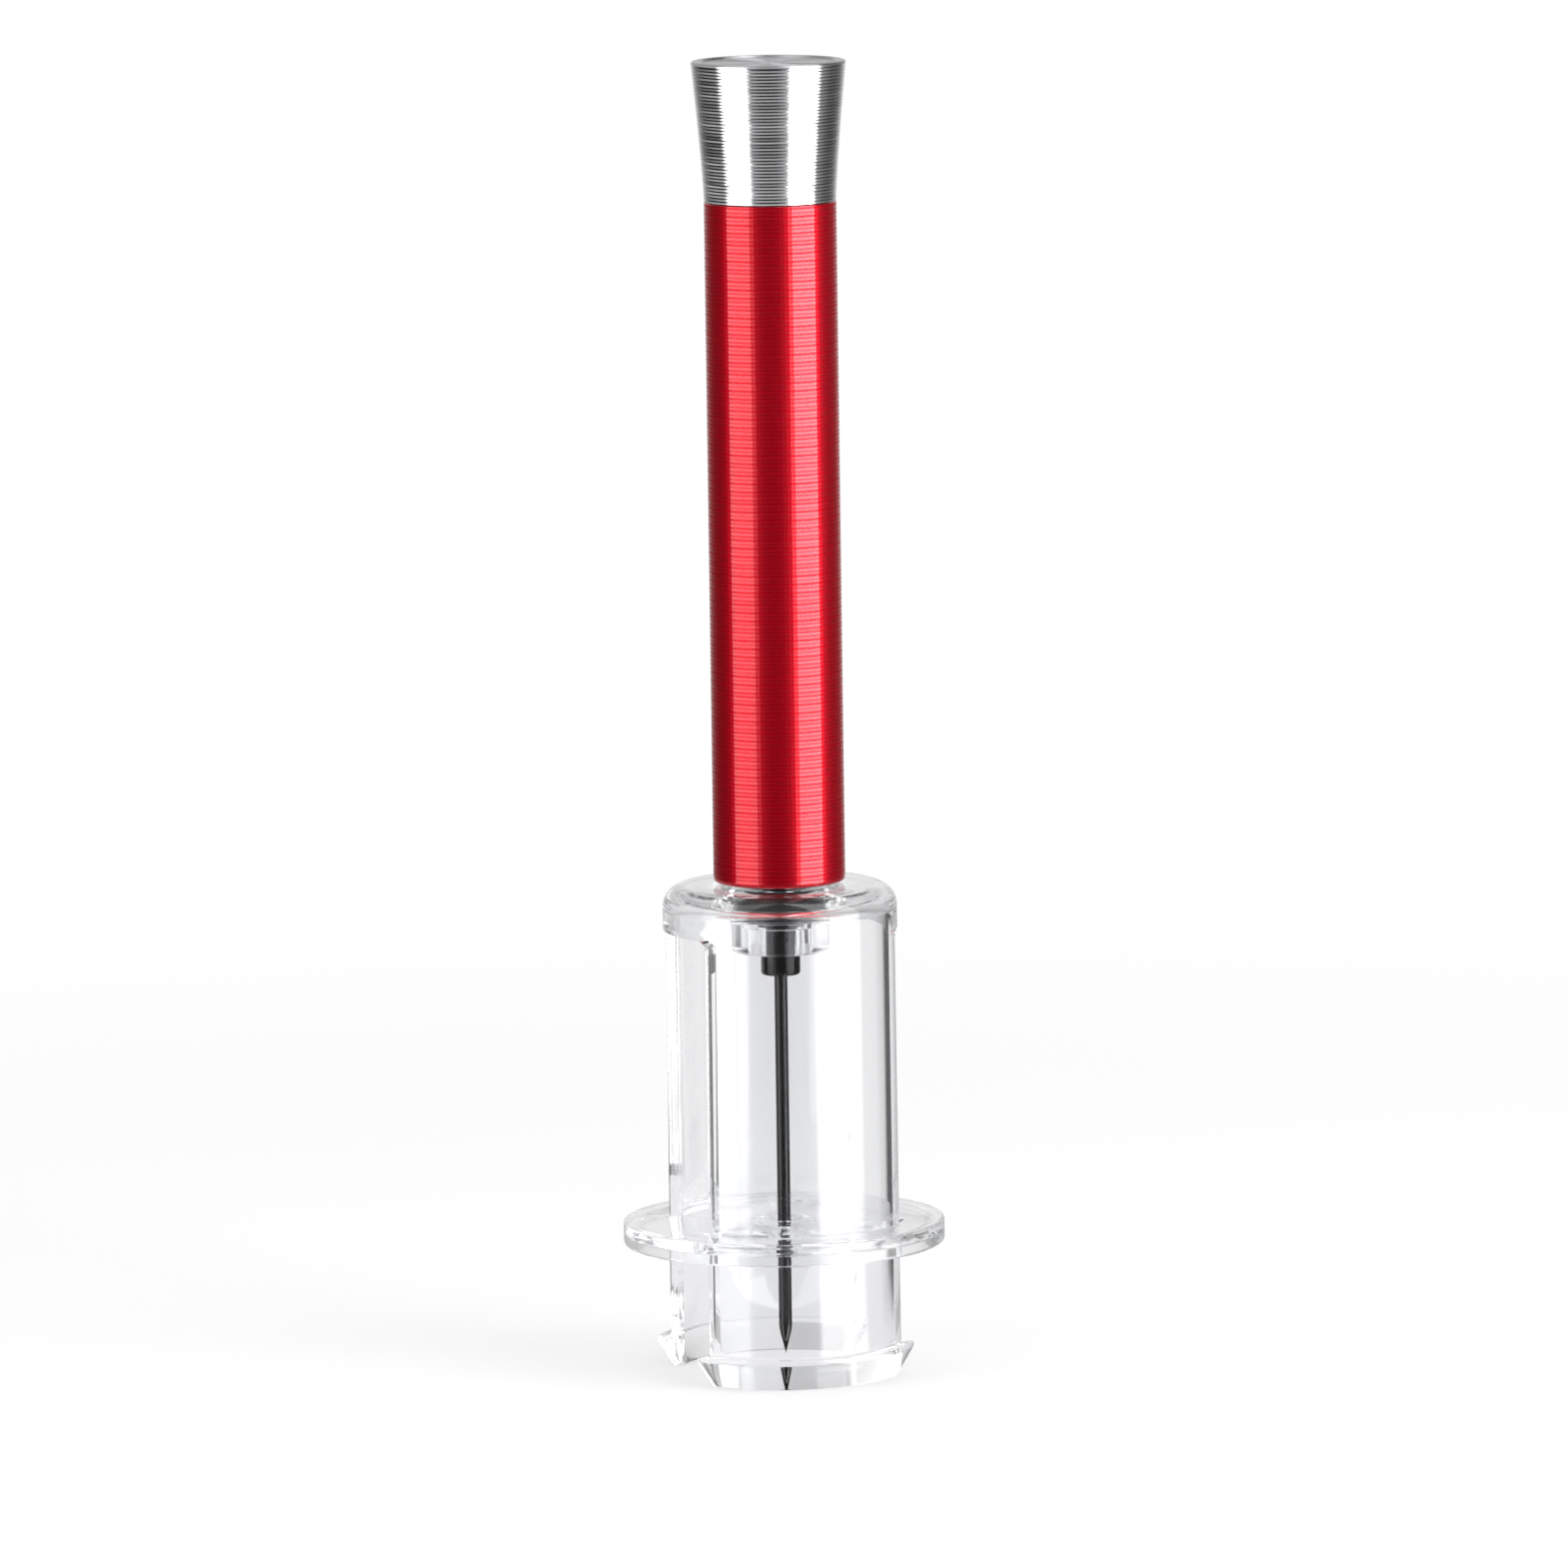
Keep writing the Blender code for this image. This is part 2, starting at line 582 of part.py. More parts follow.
def build_valve_retainer():
    """Drilled plug that holds the spring up in the base."""
    top = RETAINER_Z + RETAINER_THICKNESS
    outline = [
        (RETAINER_HOLE_RADIUS, top),
        (RETAINER_RADIUS, top),
        (RETAINER_RADIUS, RETAINER_Z),
        (RETAINER_HOLE_RADIUS, RETAINER_Z),
    ]
    return turned_piece("valve_retainer", outline, SLIM_STEPS, "white_plastic", RETAINER_Z)


def build_pump_barrel():
    """Fixed inner cylinder, standing on the pump base's flange."""
    outline = [
        (BARREL_BORE_RADIUS, BARREL_TOP_Z),
        (BARREL_RADIUS, BARREL_TOP_Z),
        (BARREL_RADIUS, BARREL_Z),
        (BARREL_BORE_RADIUS, BARREL_Z),
    ]
    return turned_piece("pump_barrel", outline, MIDDLE_STEPS, "white_plastic", BARREL_Z)


def build_barrel_top_bush():
    """Bush in the barrel's top that guides the rod and stops the piston."""
    foot = TOP_BUSH_FLANGE_Z - TOP_BUSH_SPIGOT
    outline = [
        (ROD_BORE_RADIUS, TOP_BUSH_FLANGE_Z + TOP_BUSH_FLANGE),
        (BARREL_RADIUS, TOP_BUSH_FLANGE_Z + TOP_BUSH_FLANGE),
        (BARREL_RADIUS, TOP_BUSH_FLANGE_Z),
        (SPIGOT_RADIUS, TOP_BUSH_FLANGE_Z),
        (SPIGOT_RADIUS, foot),
        (ROD_BORE_RADIUS, foot),
    ]
    return turned_piece("barrel_top_bush", outline, SLIM_STEPS, "black_plastic", foot)


def build_piston_body(axis):
    """Piston: socket for the rod above, groove for the cup seal, counterbore for the screw below."""
    groove_foot = PISTON_Z + PISTON_GROOVE_RISE
    groove_top = groove_foot + PISTON_GROOVE_WIDTH
    groove_radius = SPIGOT_RADIUS - PISTON_GROOVE_DEPTH
    socket_floor = PISTON_TOP_Z - PISTON_ROD_SOCKET
    counterbore = SHOULDER_HEAD_RADIUS + CLEARANCE
    shoulder_hole = SHOULDER_RADIUS + CLEARANCE
    outline = [
        (ROD_BORE_RADIUS, PISTON_TOP_Z),
        (SPIGOT_RADIUS, PISTON_TOP_Z),
        (SPIGOT_RADIUS, groove_top),
        (groove_radius, groove_top),
        (groove_radius, groove_foot),
        (SPIGOT_RADIUS, groove_foot),
        (SPIGOT_RADIUS, PISTON_Z),
        (counterbore, PISTON_Z),
        (counterbore, PISTON_Z + PISTON_COUNTERBORE),
        (shoulder_hole, PISTON_Z + PISTON_COUNTERBORE),
        (shoulder_hole, socket_floor),
        (ROD_BORE_RADIUS, socket_floor),
    ]
    return turned_piece("piston_body", outline, SLIM_STEPS, "white_plastic", PISTON_Z, axis)


def build_piston_cup(axis):
    """Cup seal with its lips facing down, in the piston's groove."""
    foot = PISTON_Z + PISTON_GROOVE_RISE + CLEARANCE
    top = foot + PISTON_GROOVE_WIDTH - 2 * CLEARANCE
    inner = SPIGOT_RADIUS - PISTON_GROOVE_DEPTH + SEAL_CLEARANCE
    outer = BARREL_BORE_RADIUS - SEAL_CLEARANCE
    outline = [
        (inner, top),
        (outer - CUP_BACK_INSET, top),
        (outer, foot),
        (outer - CUP_LIP, foot),
        ((inner + outer) / 2, foot + CUP_NOTCH_DEPTH),
        (inner + CUP_LIP, foot),
        (inner, foot),
    ]
    return turned_piece("piston_cup", outline, MIDDLE_STEPS, "black_rubber", foot, axis)


def build_piston_screw(axis):
    """Shoulder screw from under the piston into the rod; the piston turns on its shoulder."""
    head_top = PISTON_Z + PISTON_COUNTERBORE - CLEARANCE
    foot = head_top - SHOULDER_HEAD_HEIGHT
    shoulder_top = ROD_Z - CLEARANCE
    top = ROD_Z + PISTON_THREAD_LENGTH
    outline = [
        (0, top),
        (PISTON_THREAD_RADIUS, top),
        (PISTON_THREAD_RADIUS, shoulder_top),
        (SHOULDER_RADIUS, shoulder_top),
        (SHOULDER_RADIUS, head_top),
        (SHOULDER_HEAD_RADIUS, head_top),
        (SHOULDER_HEAD_RADIUS, foot),
        (0, foot),
    ]
    screw = turned_piece("piston_screw", outline, SLIM_STEPS, "bare_steel", foot, axis)
    socket = prism_cutter("piston_screw_socket", HEX_SOCKET_RADIUS, 2 * HEX_SOCKET_DEPTH, 6,
                          (0, 0, foot))
    return cut(screw, socket)


def build_piston_rod(axis):
    """Rod with a tapped hole in each end."""
    top_tap = ROD_SCREW_SEAT_Z - ROD_SCREW_LENGTH - ROD_TAP_SPARE
    low_tap = ROD_Z + PISTON_THREAD_LENGTH + ROD_TAP_SPARE
    low_tap_radius = PISTON_THREAD_RADIUS + CLEARANCE
    outline = [
        (0, top_tap),
        (ROD_TAP_RADIUS, top_tap),
        (ROD_TAP_RADIUS, ROD_TOP_Z),
        (ROD_RADIUS, ROD_TOP_Z),
        (ROD_RADIUS, ROD_Z),
        (low_tap_radius, ROD_Z),
        (low_tap_radius, low_tap),
        (0, low_tap),
    ]
    return turned_piece("piston_rod", outline, SLIM_STEPS, "bare_steel", ROD_Z, axis)


def build_rod_screw(axis):
    """Socket screw through the handle plug into the rod's top."""
    seat = ROD_SCREW_SEAT_Z + CLEARANCE
    top = seat + ROD_SCREW_HEAD_HEIGHT
    foot = ROD_SCREW_SEAT_Z - ROD_SCREW_LENGTH
    outline = [
        (0, top),
        (ROD_SCREW_HEAD_RADIUS, top),
        (ROD_SCREW_HEAD_RADIUS, seat),
        (ROD_SCREW_RADIUS, seat),
        (ROD_SCREW_RADIUS, foot),
        (0, foot),
    ]
    screw = turned_piece("rod_screw", outline, SLIM_STEPS, "bare_steel", foot, axis)
    socket = prism_cutter("rod_screw_socket", HEX_SOCKET_RADIUS, 2 * HEX_SOCKET_DEPTH, 6,
                          (0, 0, top))
    return cut(screw, socket)


def build_handle_plug(axis):
    """Plug in the tube's top: rod socket below, screw seat above, and a boss that holds the cap."""
    screw_pocket = ROD_SCREW_HEAD_RADIUS + CLEARANCE
    rod_stop = ROD_TOP_Z + CLEARANCE
    outline = [
        (screw_pocket, PLUG_TOP_Z),
        (PLUG_BOSS_RADIUS, PLUG_TOP_Z),
        (PLUG_BOSS_RADIUS, TUBE_TOP_Z),
        (TUBE_FIT_RADIUS, TUBE_TOP_Z),
        (TUBE_FIT_RADIUS, PLUG_Z),
        (ROD_BORE_RADIUS, PLUG_Z),
        (ROD_BORE_RADIUS, rod_stop),
        (ROD_TAP_RADIUS, rod_stop),
        (ROD_TAP_RADIUS, ROD_SCREW_SEAT_Z),
        (screw_pocket, ROD_SCREW_SEAT_Z),
    ]
    return turned_piece("handle_plug", outline, SLIM_STEPS, "black_plastic", PLUG_Z, axis)


def build_handle_tube(axis):
    """Red grip tube with a rounded lower edge."""
    edge = (TUBE_RADIUS - TUBE_EDGE, TUBE_Z + TUBE_EDGE)
    outline = [(TUBE_BORE_RADIUS, TUBE_TOP_Z), (TUBE_RADIUS, TUBE_TOP_Z)]
    outline += arc(edge, TUBE_EDGE, 0, -90, 4)
    outline += [(TUBE_BORE_RADIUS, TUBE_Z)]
    return turned_piece("handle_tube", outline, WIDE_STEPS, "red_anodised", TUBE_Z, axis)


def build_handle_guide_bush(axis):
    """Bush in the tube's lower end that runs on the barrel."""
    foot = BARREL_SEAT_Z + CLEARANCE
    top = foot + GUIDE_BUSH_LENGTH
    bore = BARREL_RADIUS + CLEARANCE
    outline = [(bore, top), (TUBE_FIT_RADIUS, top), (TUBE_FIT_RADIUS, foot), (bore, foot)]
    return turned_piece("handle_guide_bush", outline, MIDDLE_STEPS, "white_plastic", foot, axis)


def build_handle_cap(axis):
    """Flared cap with a shallow dished top and a socket for the plug's boss."""
    top = CAP_Z + CAP_HEIGHT
    side_top = top - CAP_TOP_EDGE
    socket = PLUG_BOSS_RADIUS + CLEARANCE
    socket_top = PLUG_TOP_Z + CLEARANCE
    outline = [
        (0, top - CAP_TOP_DISH),
        (CAP_TOP_RADIUS - CAP_TOP_EDGE - CAP_TOP_BAND, top - CAP_TOP_DISH),
        (CAP_TOP_RADIUS - CAP_TOP_EDGE - CAP_TOP_BAND, top),
        (CAP_TOP_RADIUS - CAP_TOP_EDGE, top),
    ]
    for step in range(CAP_FLARE_POINTS):
        share = 1 - step / (CAP_FLARE_POINTS - 1)
        flare = CAP_FLARE * share ** CAP_FLARE_POWER
        outline.append((TUBE_RADIUS + flare, CAP_Z + (side_top - CAP_Z) * share))
    outline += [(socket, CAP_Z), (socket, socket_top), (0, socket_top)]
    return turned_piece("handle_cap", outline, WIDE_STEPS, "turned_aluminium", CAP_Z, axis)


def print_travels():
    """Say how far each sliding piece can go before it meets its stop."""
    stroke = TOP_BUSH_FLANGE_Z - TOP_BUSH_SPIGOT - PISTON_TOP_Z - CLEARANCE
    drop = EJECTOR_TOP_Z - EJECTOR_WEB - BARB_HEIGHT - CLEARANCE
    lift = HUB_FOOT_Z - EJECTOR_TOP_Z - CLEARANCE
    print("handle stroke:", round(stroke, 6), "m")
    print("ejector down:", round(drop, 6), "m, up:", round(lift, 6), "m")


clear_scene()
PARTS = new_collection("air_pump_wine_opener")
CUTTERS = new_collection("cutters")

piston_axis = new_axis("piston_slide_axis", PISTON_Z)
handle_axis = new_axis("handle_spin_axis", TUBE_Z, piston_axis)
ejector_axis = new_axis("ejector_slide_axis", EJECTOR_FOOT_Z)
valve_axis = new_axis("valve_lift_axis", BALL_Z)

build_clear_sleeve()
build_needle_hub()
build_needle()
build_hub_gasket()
build_pump_base()
build_base_o_ring()
build_valve_retainer()
build_pump_barrel()
build_barrel_top_bush()
build_ejector_disc(ejector_axis)
build_valve_ball(valve_axis)
build_valve_spring(valve_axis)
build_piston_body(piston_axis)
build_piston_cup(piston_axis)
build_piston_screw(handle_axis)
build_piston_rod(handle_axis)
build_rod_screw(handle_axis)
build_handle_plug(handle_axis)
build_handle_tube(handle_axis)
build_handle_guide_bush(handle_axis)
build_handle_cap(handle_axis)
print_travels()
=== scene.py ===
"""Looks of the air pump wine opener: turned cap, red anodised tube, clear sleeve and ejector, needle.

Lengths are in metres and +Z is up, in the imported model's own frame. The opener stands on the floor at
height zero, every turned piece is centred on the Z axis, and the sleeve's slots face along X.
"""
import json
import math
import random

import bmesh
import bpy
from mathutils import Matrix, Vector


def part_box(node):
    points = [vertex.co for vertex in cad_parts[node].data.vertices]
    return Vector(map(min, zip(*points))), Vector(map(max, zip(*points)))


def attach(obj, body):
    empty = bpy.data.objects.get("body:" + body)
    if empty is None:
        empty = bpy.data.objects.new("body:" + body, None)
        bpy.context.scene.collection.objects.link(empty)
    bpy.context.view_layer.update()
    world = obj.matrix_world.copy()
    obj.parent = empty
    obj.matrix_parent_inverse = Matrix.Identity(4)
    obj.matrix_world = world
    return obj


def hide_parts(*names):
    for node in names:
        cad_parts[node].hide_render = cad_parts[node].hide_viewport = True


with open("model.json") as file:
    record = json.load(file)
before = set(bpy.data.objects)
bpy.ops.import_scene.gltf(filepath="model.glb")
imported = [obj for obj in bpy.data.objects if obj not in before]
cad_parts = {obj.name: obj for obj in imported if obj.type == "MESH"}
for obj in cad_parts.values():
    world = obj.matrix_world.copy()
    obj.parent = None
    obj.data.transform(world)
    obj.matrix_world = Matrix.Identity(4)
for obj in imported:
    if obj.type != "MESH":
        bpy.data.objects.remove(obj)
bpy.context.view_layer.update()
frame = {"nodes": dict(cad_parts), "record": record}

MM = 0.001

# Camera, from the photograph: its frame is square, and its view is long and slightly from above
PHOTO_PIXELS = 1569
FOCAL_PIXELS = 12000
SENSOR = 36
CAMERA_DISTANCE = 1.816
CAMERA_AZIMUTH = math.radians(-19)
CAMERA_ELEVATION = math.radians(7.8)
CAMERA_ROLL = -0.0138
AIM = Vector((0, 0, 0.09003))
AXIS_LEFT_OF_CENTRE = 0.89 * MM
TO_RIGHT = Vector((math.cos(CAMERA_AZIMUTH), math.sin(CAMERA_AZIMUTH), 0))
TO_CAMERA = Vector((math.sin(CAMERA_AZIMUTH), -math.cos(CAMERA_AZIMUTH), 0))

# Modelling: steps of small arcs, of fillets and round the Z axis, then small lengths
ROUND_STEPS = 4
FINE_ROUND_STEPS = 6
SLOT_CORNER_STEPS = 8
FILLET_STEPS = 10
SLIM_STEPS = 48
TURN_STEPS = 96
FINE_TURN_STEPS = 128
WELD = 0.002 * MM
SEED_SIZE = 1 * MM
OVERRUN = 2 * MM


class Signal:
    """An output of a shader node. Arithmetic on it adds Math nodes."""

    def __init__(self, finish, socket):
        self.finish = finish
        self.socket = socket

    def maths(self, operation, first, second=0.0):
        """Add one Math node on two values."""
        return self.finish.node("ShaderNodeMath", {"operation": operation}, {0: first, 1: second})

    def __add__(self, other):
        return self.maths("ADD", self, other)

    def __radd__(self, other):
        return self.maths("ADD", other, self)

    def __sub__(self, other):
        return self.maths("SUBTRACT", self, other)

    def __rsub__(self, other):
        return self.maths("SUBTRACT", other, self)

    def __mul__(self, other):
        return self.maths("MULTIPLY", self, other)

    def __rmul__(self, other):
        return self.maths("MULTIPLY", other, self)

    def __truediv__(self, other):
        return self.maths("DIVIDE", self, other)

    def most(self, other):
        """The larger of this and another value."""
        return self.maths("MAXIMUM", self, other)

    def cosine(self):
        """The cosine of this value, in radians."""
        return self.maths("COSINE", self)


class Finish:
    """The node tree of a material or of the world."""

    def __init__(self, owner):
        owner.use_nodes = True
        self.of_world = isinstance(owner, bpy.types.World)
        self.tree = owner.node_tree
        self.tree.nodes.clear()

    def node(self, kind, settings=None, sockets=None, output=0):
        """Add a node: its type, its settings, then the values or links of its sockets."""
        made = self.tree.nodes.new(kind)
        for name, value in (settings or {}).items():
            if name == "stops":
                set_stops(made.color_ramp, value)
            else:
                setattr(made, name, value)
        for name, value in (sockets or {}).items():
            if isinstance(value, Signal):
                self.tree.links.new(value.socket, made.inputs[name])
            else:
                made.inputs[name].default_value = value
        return Signal(self, made.outputs[output])

    def end(self, shader):
        """Link a shader to the tree's end."""
        kind = "ShaderNodeOutputWorld" if self.of_world else "ShaderNodeOutputMaterial"
        last = self.tree.nodes.new(kind)
        self.tree.links.new(shader.socket, last.inputs["Surface"])

    def vector(self, operation, first, second=(0, 0, 0), output=0):
        """One Vector Math node."""
        return self.node("ShaderNodeVectorMath", {"operation": operation}, {0: first, 1: second}, output)

    def scaled(self, vector, factor):
        """A vector or colour times a value."""
        return self.node("ShaderNodeVectorMath", {"operation": "SCALE"}, {0: vector, "Scale": factor})

    def spread(self, value, low, high, to_low, to_high):
        """A value's range mapped smoothly onto another, and held at its ends."""
        sockets = {"Value": value, "From Min": low, "From Max": high, "To Min": to_low, "To Max": to_high}
        return self.node("ShaderNodeMapRange", {"interpolation_type": "SMOOTHSTEP"}, sockets)

    def glow(self, colour):
        """An emission shader."""
        return self.node("ShaderNodeEmission", {}, {"Color": colour})

    def mix(self, factor, first, second):
        """A mix of two shaders."""
        return self.node("ShaderNodeMixShader", {}, {0: factor, 1: first, 2: second})

    def ramp(self, factor, *stops):
        """A colour ramp on a value: each stop is a place and a colour or a grey."""
        return self.node("ShaderNodeValToRGB", {"stops": stops}, {"Fac": factor})

    def blend(self, factor, first, second):
        """A mix of two colours."""
        return self.node("ShaderNodeMix", {"data_type": "RGBA"}, {0: factor, 6: first, 7: second}, output=2)

    def place(self, scale):
        """The object's own coordinates, stretched."""
        coordinates = self.node("ShaderNodeTexCoord", output="Object")
        return self.node("ShaderNodeMapping", {}, {"Vector": coordinates, "Scale": scale})

    def noise(self, scale, detail=2.0, roughness=0.5):
        """Noise between 0 and 1 whose grain is stretched by a scale along each axis, a metre wide at 1."""
        settings = {"Vector": self.place(scale), "Scale": 1.0, "Detail": detail, "Roughness": roughness}
        return self.node("ShaderNodeTexNoise", {}, settings, output="Fac")

    def bump(self, height, strength, distance):
        """A normal from a height, in metres of relief."""
        return self.node("ShaderNodeBump", {}, {"Height": height, "Strength": strength, "Distance": distance})


def set_stops(ramp, stops):
    """Give a colour ramp its stops."""
    while len(ramp.elements) > 1:
        ramp.elements.remove(ramp.elements[-1])
    for index, (position, colour) in enumerate(stops):
        element = ramp.elements[0] if index == 0 else ramp.elements.new(position)
        element.position = position
        grey = isinstance(colour, (int, float))
        element.color = (colour, colour, colour, 1) if grey else (*colour, 1)


def new_finish(name):
    """A new material and its tree."""
    material = bpy.data.materials.new(name)
    return material, Finish(material)


def shade(finish, **sockets):
    """End a tree in a Principled shader with these sockets."""
    named = {name.replace("_", " "): value for name, value in sockets.items()}
    finish.end(finish.node("ShaderNodeBsdfPrincipled", {}, named))


def turned_metal(name, light, dark, roughness, line_scale, relief):
    """Metal turned on a lathe: fine lines round the Z axis in its colour, its gloss and its relief."""
    material, finish = new_finish(name)
    lines = finish.noise(line_scale, detail=3.0, roughness=0.65)
    patches = finish.noise((90, 90, 60))
    shade(
        finish,
        Base_Color=finish.blend(finish.ramp(lines, (0.3, 0.0), (0.7, 1.0)), dark, light),
        Metallic=1.0,
        Roughness=roughness + 0.10 * (lines - 0.5) + 0.05 * (patches - 0.5),
        Normal=finish.bump(lines, 0.6, relief),
        Anisotropic=0.8,
        Anisotropic_Rotation=0.25,
    )
    return material


def cap_side_finish():
    """Bare aluminium with turning marks round the cap."""
    return turned_metal("cap_side", (0.90, 0.90, 0.92, 1), (0.62, 0.62, 0.64, 1),
                        roughness=0.17, line_scale=(80, 80, 2600), relief=0.012 * MM)


# Turning marks on the cap's top
RINGS_PER_METRE = 5200.0


def shaded_cap_top_finish():
    """Bare aluminium with rings of turning marks on the cap's top, its colour painted darker as shade."""
    material, finish = new_finish("cap_top_painted_shade")
    flat = finish.vector("MULTIPLY", finish.node("ShaderNodeTexCoord", output="Object"), (1, 1, 0))
    radius = finish.vector("LENGTH", flat, output="Value")
    settings = {"W": radius * RINGS_PER_METRE, "Scale": 1.0, "Detail": 3.0, "Roughness": 0.6}
    rings = finish.node("ShaderNodeTexNoise", {"noise_dimensions": "1D"}, settings, output="Fac")
    shade(
        finish,
        # Painted shade: the same aluminium as the side in darker base colours, with rings of turning marks
        # between them
        Base_Color=finish.blend(rings, (0.34, 0.34, 0.355, 1), (0.56, 0.56, 0.575, 1)),
        Metallic=1.0,
        Roughness=0.36 + 0.12 * (rings - 0.5),
        Normal=finish.bump(rings, 0.7, 0.006 * MM),
        Anisotropic=0.95,
        Anisotropic_Rotation=0.25,
    )
    return material


def tube_finish(first_ridge):
    """Red anodised aluminium under a clear sealed layer that is thin and dull in the turned grooves."""
    material, finish = new_finish("red_anodised")
    place = finish.node("ShaderNodeTexCoord", output="Object")
    height = finish.node("ShaderNodeSeparateXYZ", {}, {"Vector": place}, "Z")
    drift = 0.16 * MM * (finish.noise((70, 70, 260)) - 0.5)
    below = first_ridge - height + drift
    groove = 0.5 - 0.5 * (below * (2 * math.pi / TUBE_GROOVE_PITCH)).cosine()
    beat = 0.5 + 0.5 * (below * (2 * math.pi / TUBE_GROOVE_BEAT)).cosine()
    scratches = finish.noise((60, 60, 5200), detail=3.0, roughness=0.65)
    # Painted shade in the turned grooves and their beat, mixed with real fine scratches: this mask darkens
    # the base colour, roughens it and thins the coat
    groove_shade_and_scratches = 0.55 * groove + 0.25 * beat + 0.3 * scratches
    shade(
        finish,
        # Painted shade: the darker red lies in the grooves and their beat, and the scratches darken it too
        Base_Color=finish.blend(groove_shade_and_scratches, (0.55, 0.0025, 0.016, 1), (0.46, 0.0015, 0.009, 1)),
        Metallic=0.64,
        Roughness=0.24 + 0.12 * groove_shade_and_scratches,
        IOR=1.0,
        Normal=finish.bump(scratches, 0.4, 0.003 * MM),
        Coat_Weight=finish.ramp(groove_shade_and_scratches, (0.3, 1.0), (0.9, 0.2)),
        Coat_Roughness=0.07,
        Coat_IOR=1.5,
    )
    return material


def clear_finish(name):
    """Clear polished plastic with faint handling haze and the slight unevenness of a moulded wall."""
    material, finish = new_finish(name)
    haze = finish.noise((130, 130, 90), detail=4.0, roughness=0.6)
    waves = finish.noise((60, 60, 25), detail=1.0)
    shade(
        finish,
        Base_Color=finish.blend(haze, (0.984, 0.988, 0.998, 1), (0.972, 0.976, 0.990, 1)),
        Roughness=(haze - 0.45).most(0.0) * 0.10 + 0.04,
        Normal=finish.bump(waves, 0.2, 0.04 * MM),
        IOR=1.49,
        Transmission_Weight=1.0,
    )
    return material


def moulded_finish(name, light, dark, roughness, grain, relief, **sockets):
    """Moulded plastic or rubber with a fine grain and slightly uneven gloss."""
    material, finish = new_finish(name)
    fine = finish.noise((grain, grain, grain), detail=3.0)
    broad = finish.noise((180, 180, 180))
    shade(
        finish,
        Base_Color=finish.blend(broad, dark, light),
        Roughness=roughness + 0.12 * (fine - 0.5) + 0.08 * (broad - 0.5),
        Normal=finish.bump(fine, 0.5, relief),
        **sockets,
    )
    return material


def coated_needle_finish():
    """Black non-stick coating on drawn steel, with faint lines along the needle."""
    material, finish = new_finish("needle_coating")
    draw_lines = finish.noise((3200, 3200, 140), detail=3.0)
    specks = finish.noise((1500, 1500, 1500))
    shade(
        finish,
        Base_Color=finish.blend(specks, (0.005, 0.005, 0.006, 1), (0.010, 0.010, 0.011, 1)),
        Roughness=0.18 + 0.14 * (draw_lines - 0.5),
        Normal=finish.bump(draw_lines, 0.5, 0.01 * MM),
        Specular_IOR_Level=0.5,
    )
    return material


def steel_finish():
    """Bright steel with fine marks round its axis."""
    return turned_metal("bright_steel", (0.64, 0.64, 0.66, 1), (0.52, 0.52, 0.54, 1),
                        roughness=0.2, line_scale=(120, 120, 3800), relief=0.004 * MM)


def rounded(corners, closed=True):
    """An outline from corners (radius, height, rounding, steps): each rounded corner becomes an arc."""
    points = []
    for index, (radius, height, rounding, steps) in enumerate(corners):
        tip = Vector((radius, height))
        at_end = not closed and index in (0, len(corners) - 1)
        if rounding == 0 or at_end:
            points.append(tuple(tip))
            continue
        before = (Vector(corners[index - 1][:2]) - tip).normalized()
        after = (Vector(corners[(index + 1) % len(corners)][:2]) - tip).normalized()
        half = before.angle(after) / 2
        centre = tip + (before + after).normalized() * (rounding / math.sin(half))
        first = tip + before * (rounding / math.tan(half)) - centre
        last = tip + after * (rounding / math.tan(half)) - centre
        for step in range(steps + 1):
            spoke = first.slerp(last, step / steps).normalized()
            points.append(tuple(centre + spoke * rounding))
    return points


def corner(radius, height, rounding=0, steps=ROUND_STEPS):
    """One corner of an outline."""
    return radius, height, rounding, steps


def finish_edit(name):
    """Close seams, turn the faces outwards and leave edit mode with the piece's place in its mesh."""
    bpy.ops.mesh.select_all(action="SELECT")
    bpy.ops.mesh.remove_doubles(threshold=WELD)
    bpy.ops.mesh.normals_make_consistent(inside=False)
    bpy.ops.object.mode_set(mode="OBJECT")
    bpy.ops.object.transform_apply(location=True, rotation=True, scale=True)
    piece = bpy.context.object
    piece.name = name
    piece.data.name = name
    return piece


def turned(name, outline, steps=TURN_STEPS, closed=True):
    """Draw an outline of (radius, height) points from one vertex, and spin it round the Z axis."""
    bpy.ops.object.select_all(action="DESELECT")
    bpy.ops.mesh.primitive_plane_add(size=SEED_SIZE, location=(outline[0][0], 0, outline[0][1]))
    bpy.ops.object.mode_set(mode="EDIT")
    bpy.ops.mesh.select_mode(type="VERT")
    bpy.ops.mesh.select_all(action="SELECT")
    bpy.ops.mesh.merge(type="CENTER")
    ends = outline[1:] + outline[:1] if closed else outline[1:]
    for start, end in zip(outline, ends):
        step = (end[0] - start[0], 0, end[1] - start[1])
        bpy.ops.mesh.extrude_vertices_move(TRANSFORM_OT_translate={"value": step})
    bpy.ops.mesh.select_all(action="SELECT")
    bpy.ops.mesh.spin(steps=steps, angle=2 * math.pi, center=(0, 0, 0), axis=(0, 0, 1))
    return finish_edit(name)


def block(name, low, high):
    """A box between two corners."""
    bpy.ops.object.select_all(action="DESELECT")
    bpy.ops.mesh.primitive_cube_add(size=1, location=(Vector(low) + Vector(high)) / 2)
    piece = bpy.context.object
    piece.name = name
    piece.scale = Vector(high) - Vector(low)
    bpy.ops.object.transform_apply(location=True, rotation=True, scale=True)
    return piece


def select_edges(piece, wanted):
    """In edit mode, select the edges for which a test on the edge is true."""
    bpy.ops.mesh.select_all(action="DESELECT")
    bpy.ops.mesh.select_mode(type="EDGE")
    mesh = bmesh.from_edit_mesh(piece.data)
    mesh.normal_update()
    for edge in mesh.edges:
        edge.select_set(bool(wanted(edge)))
    bmesh.update_edit_mesh(piece.data)


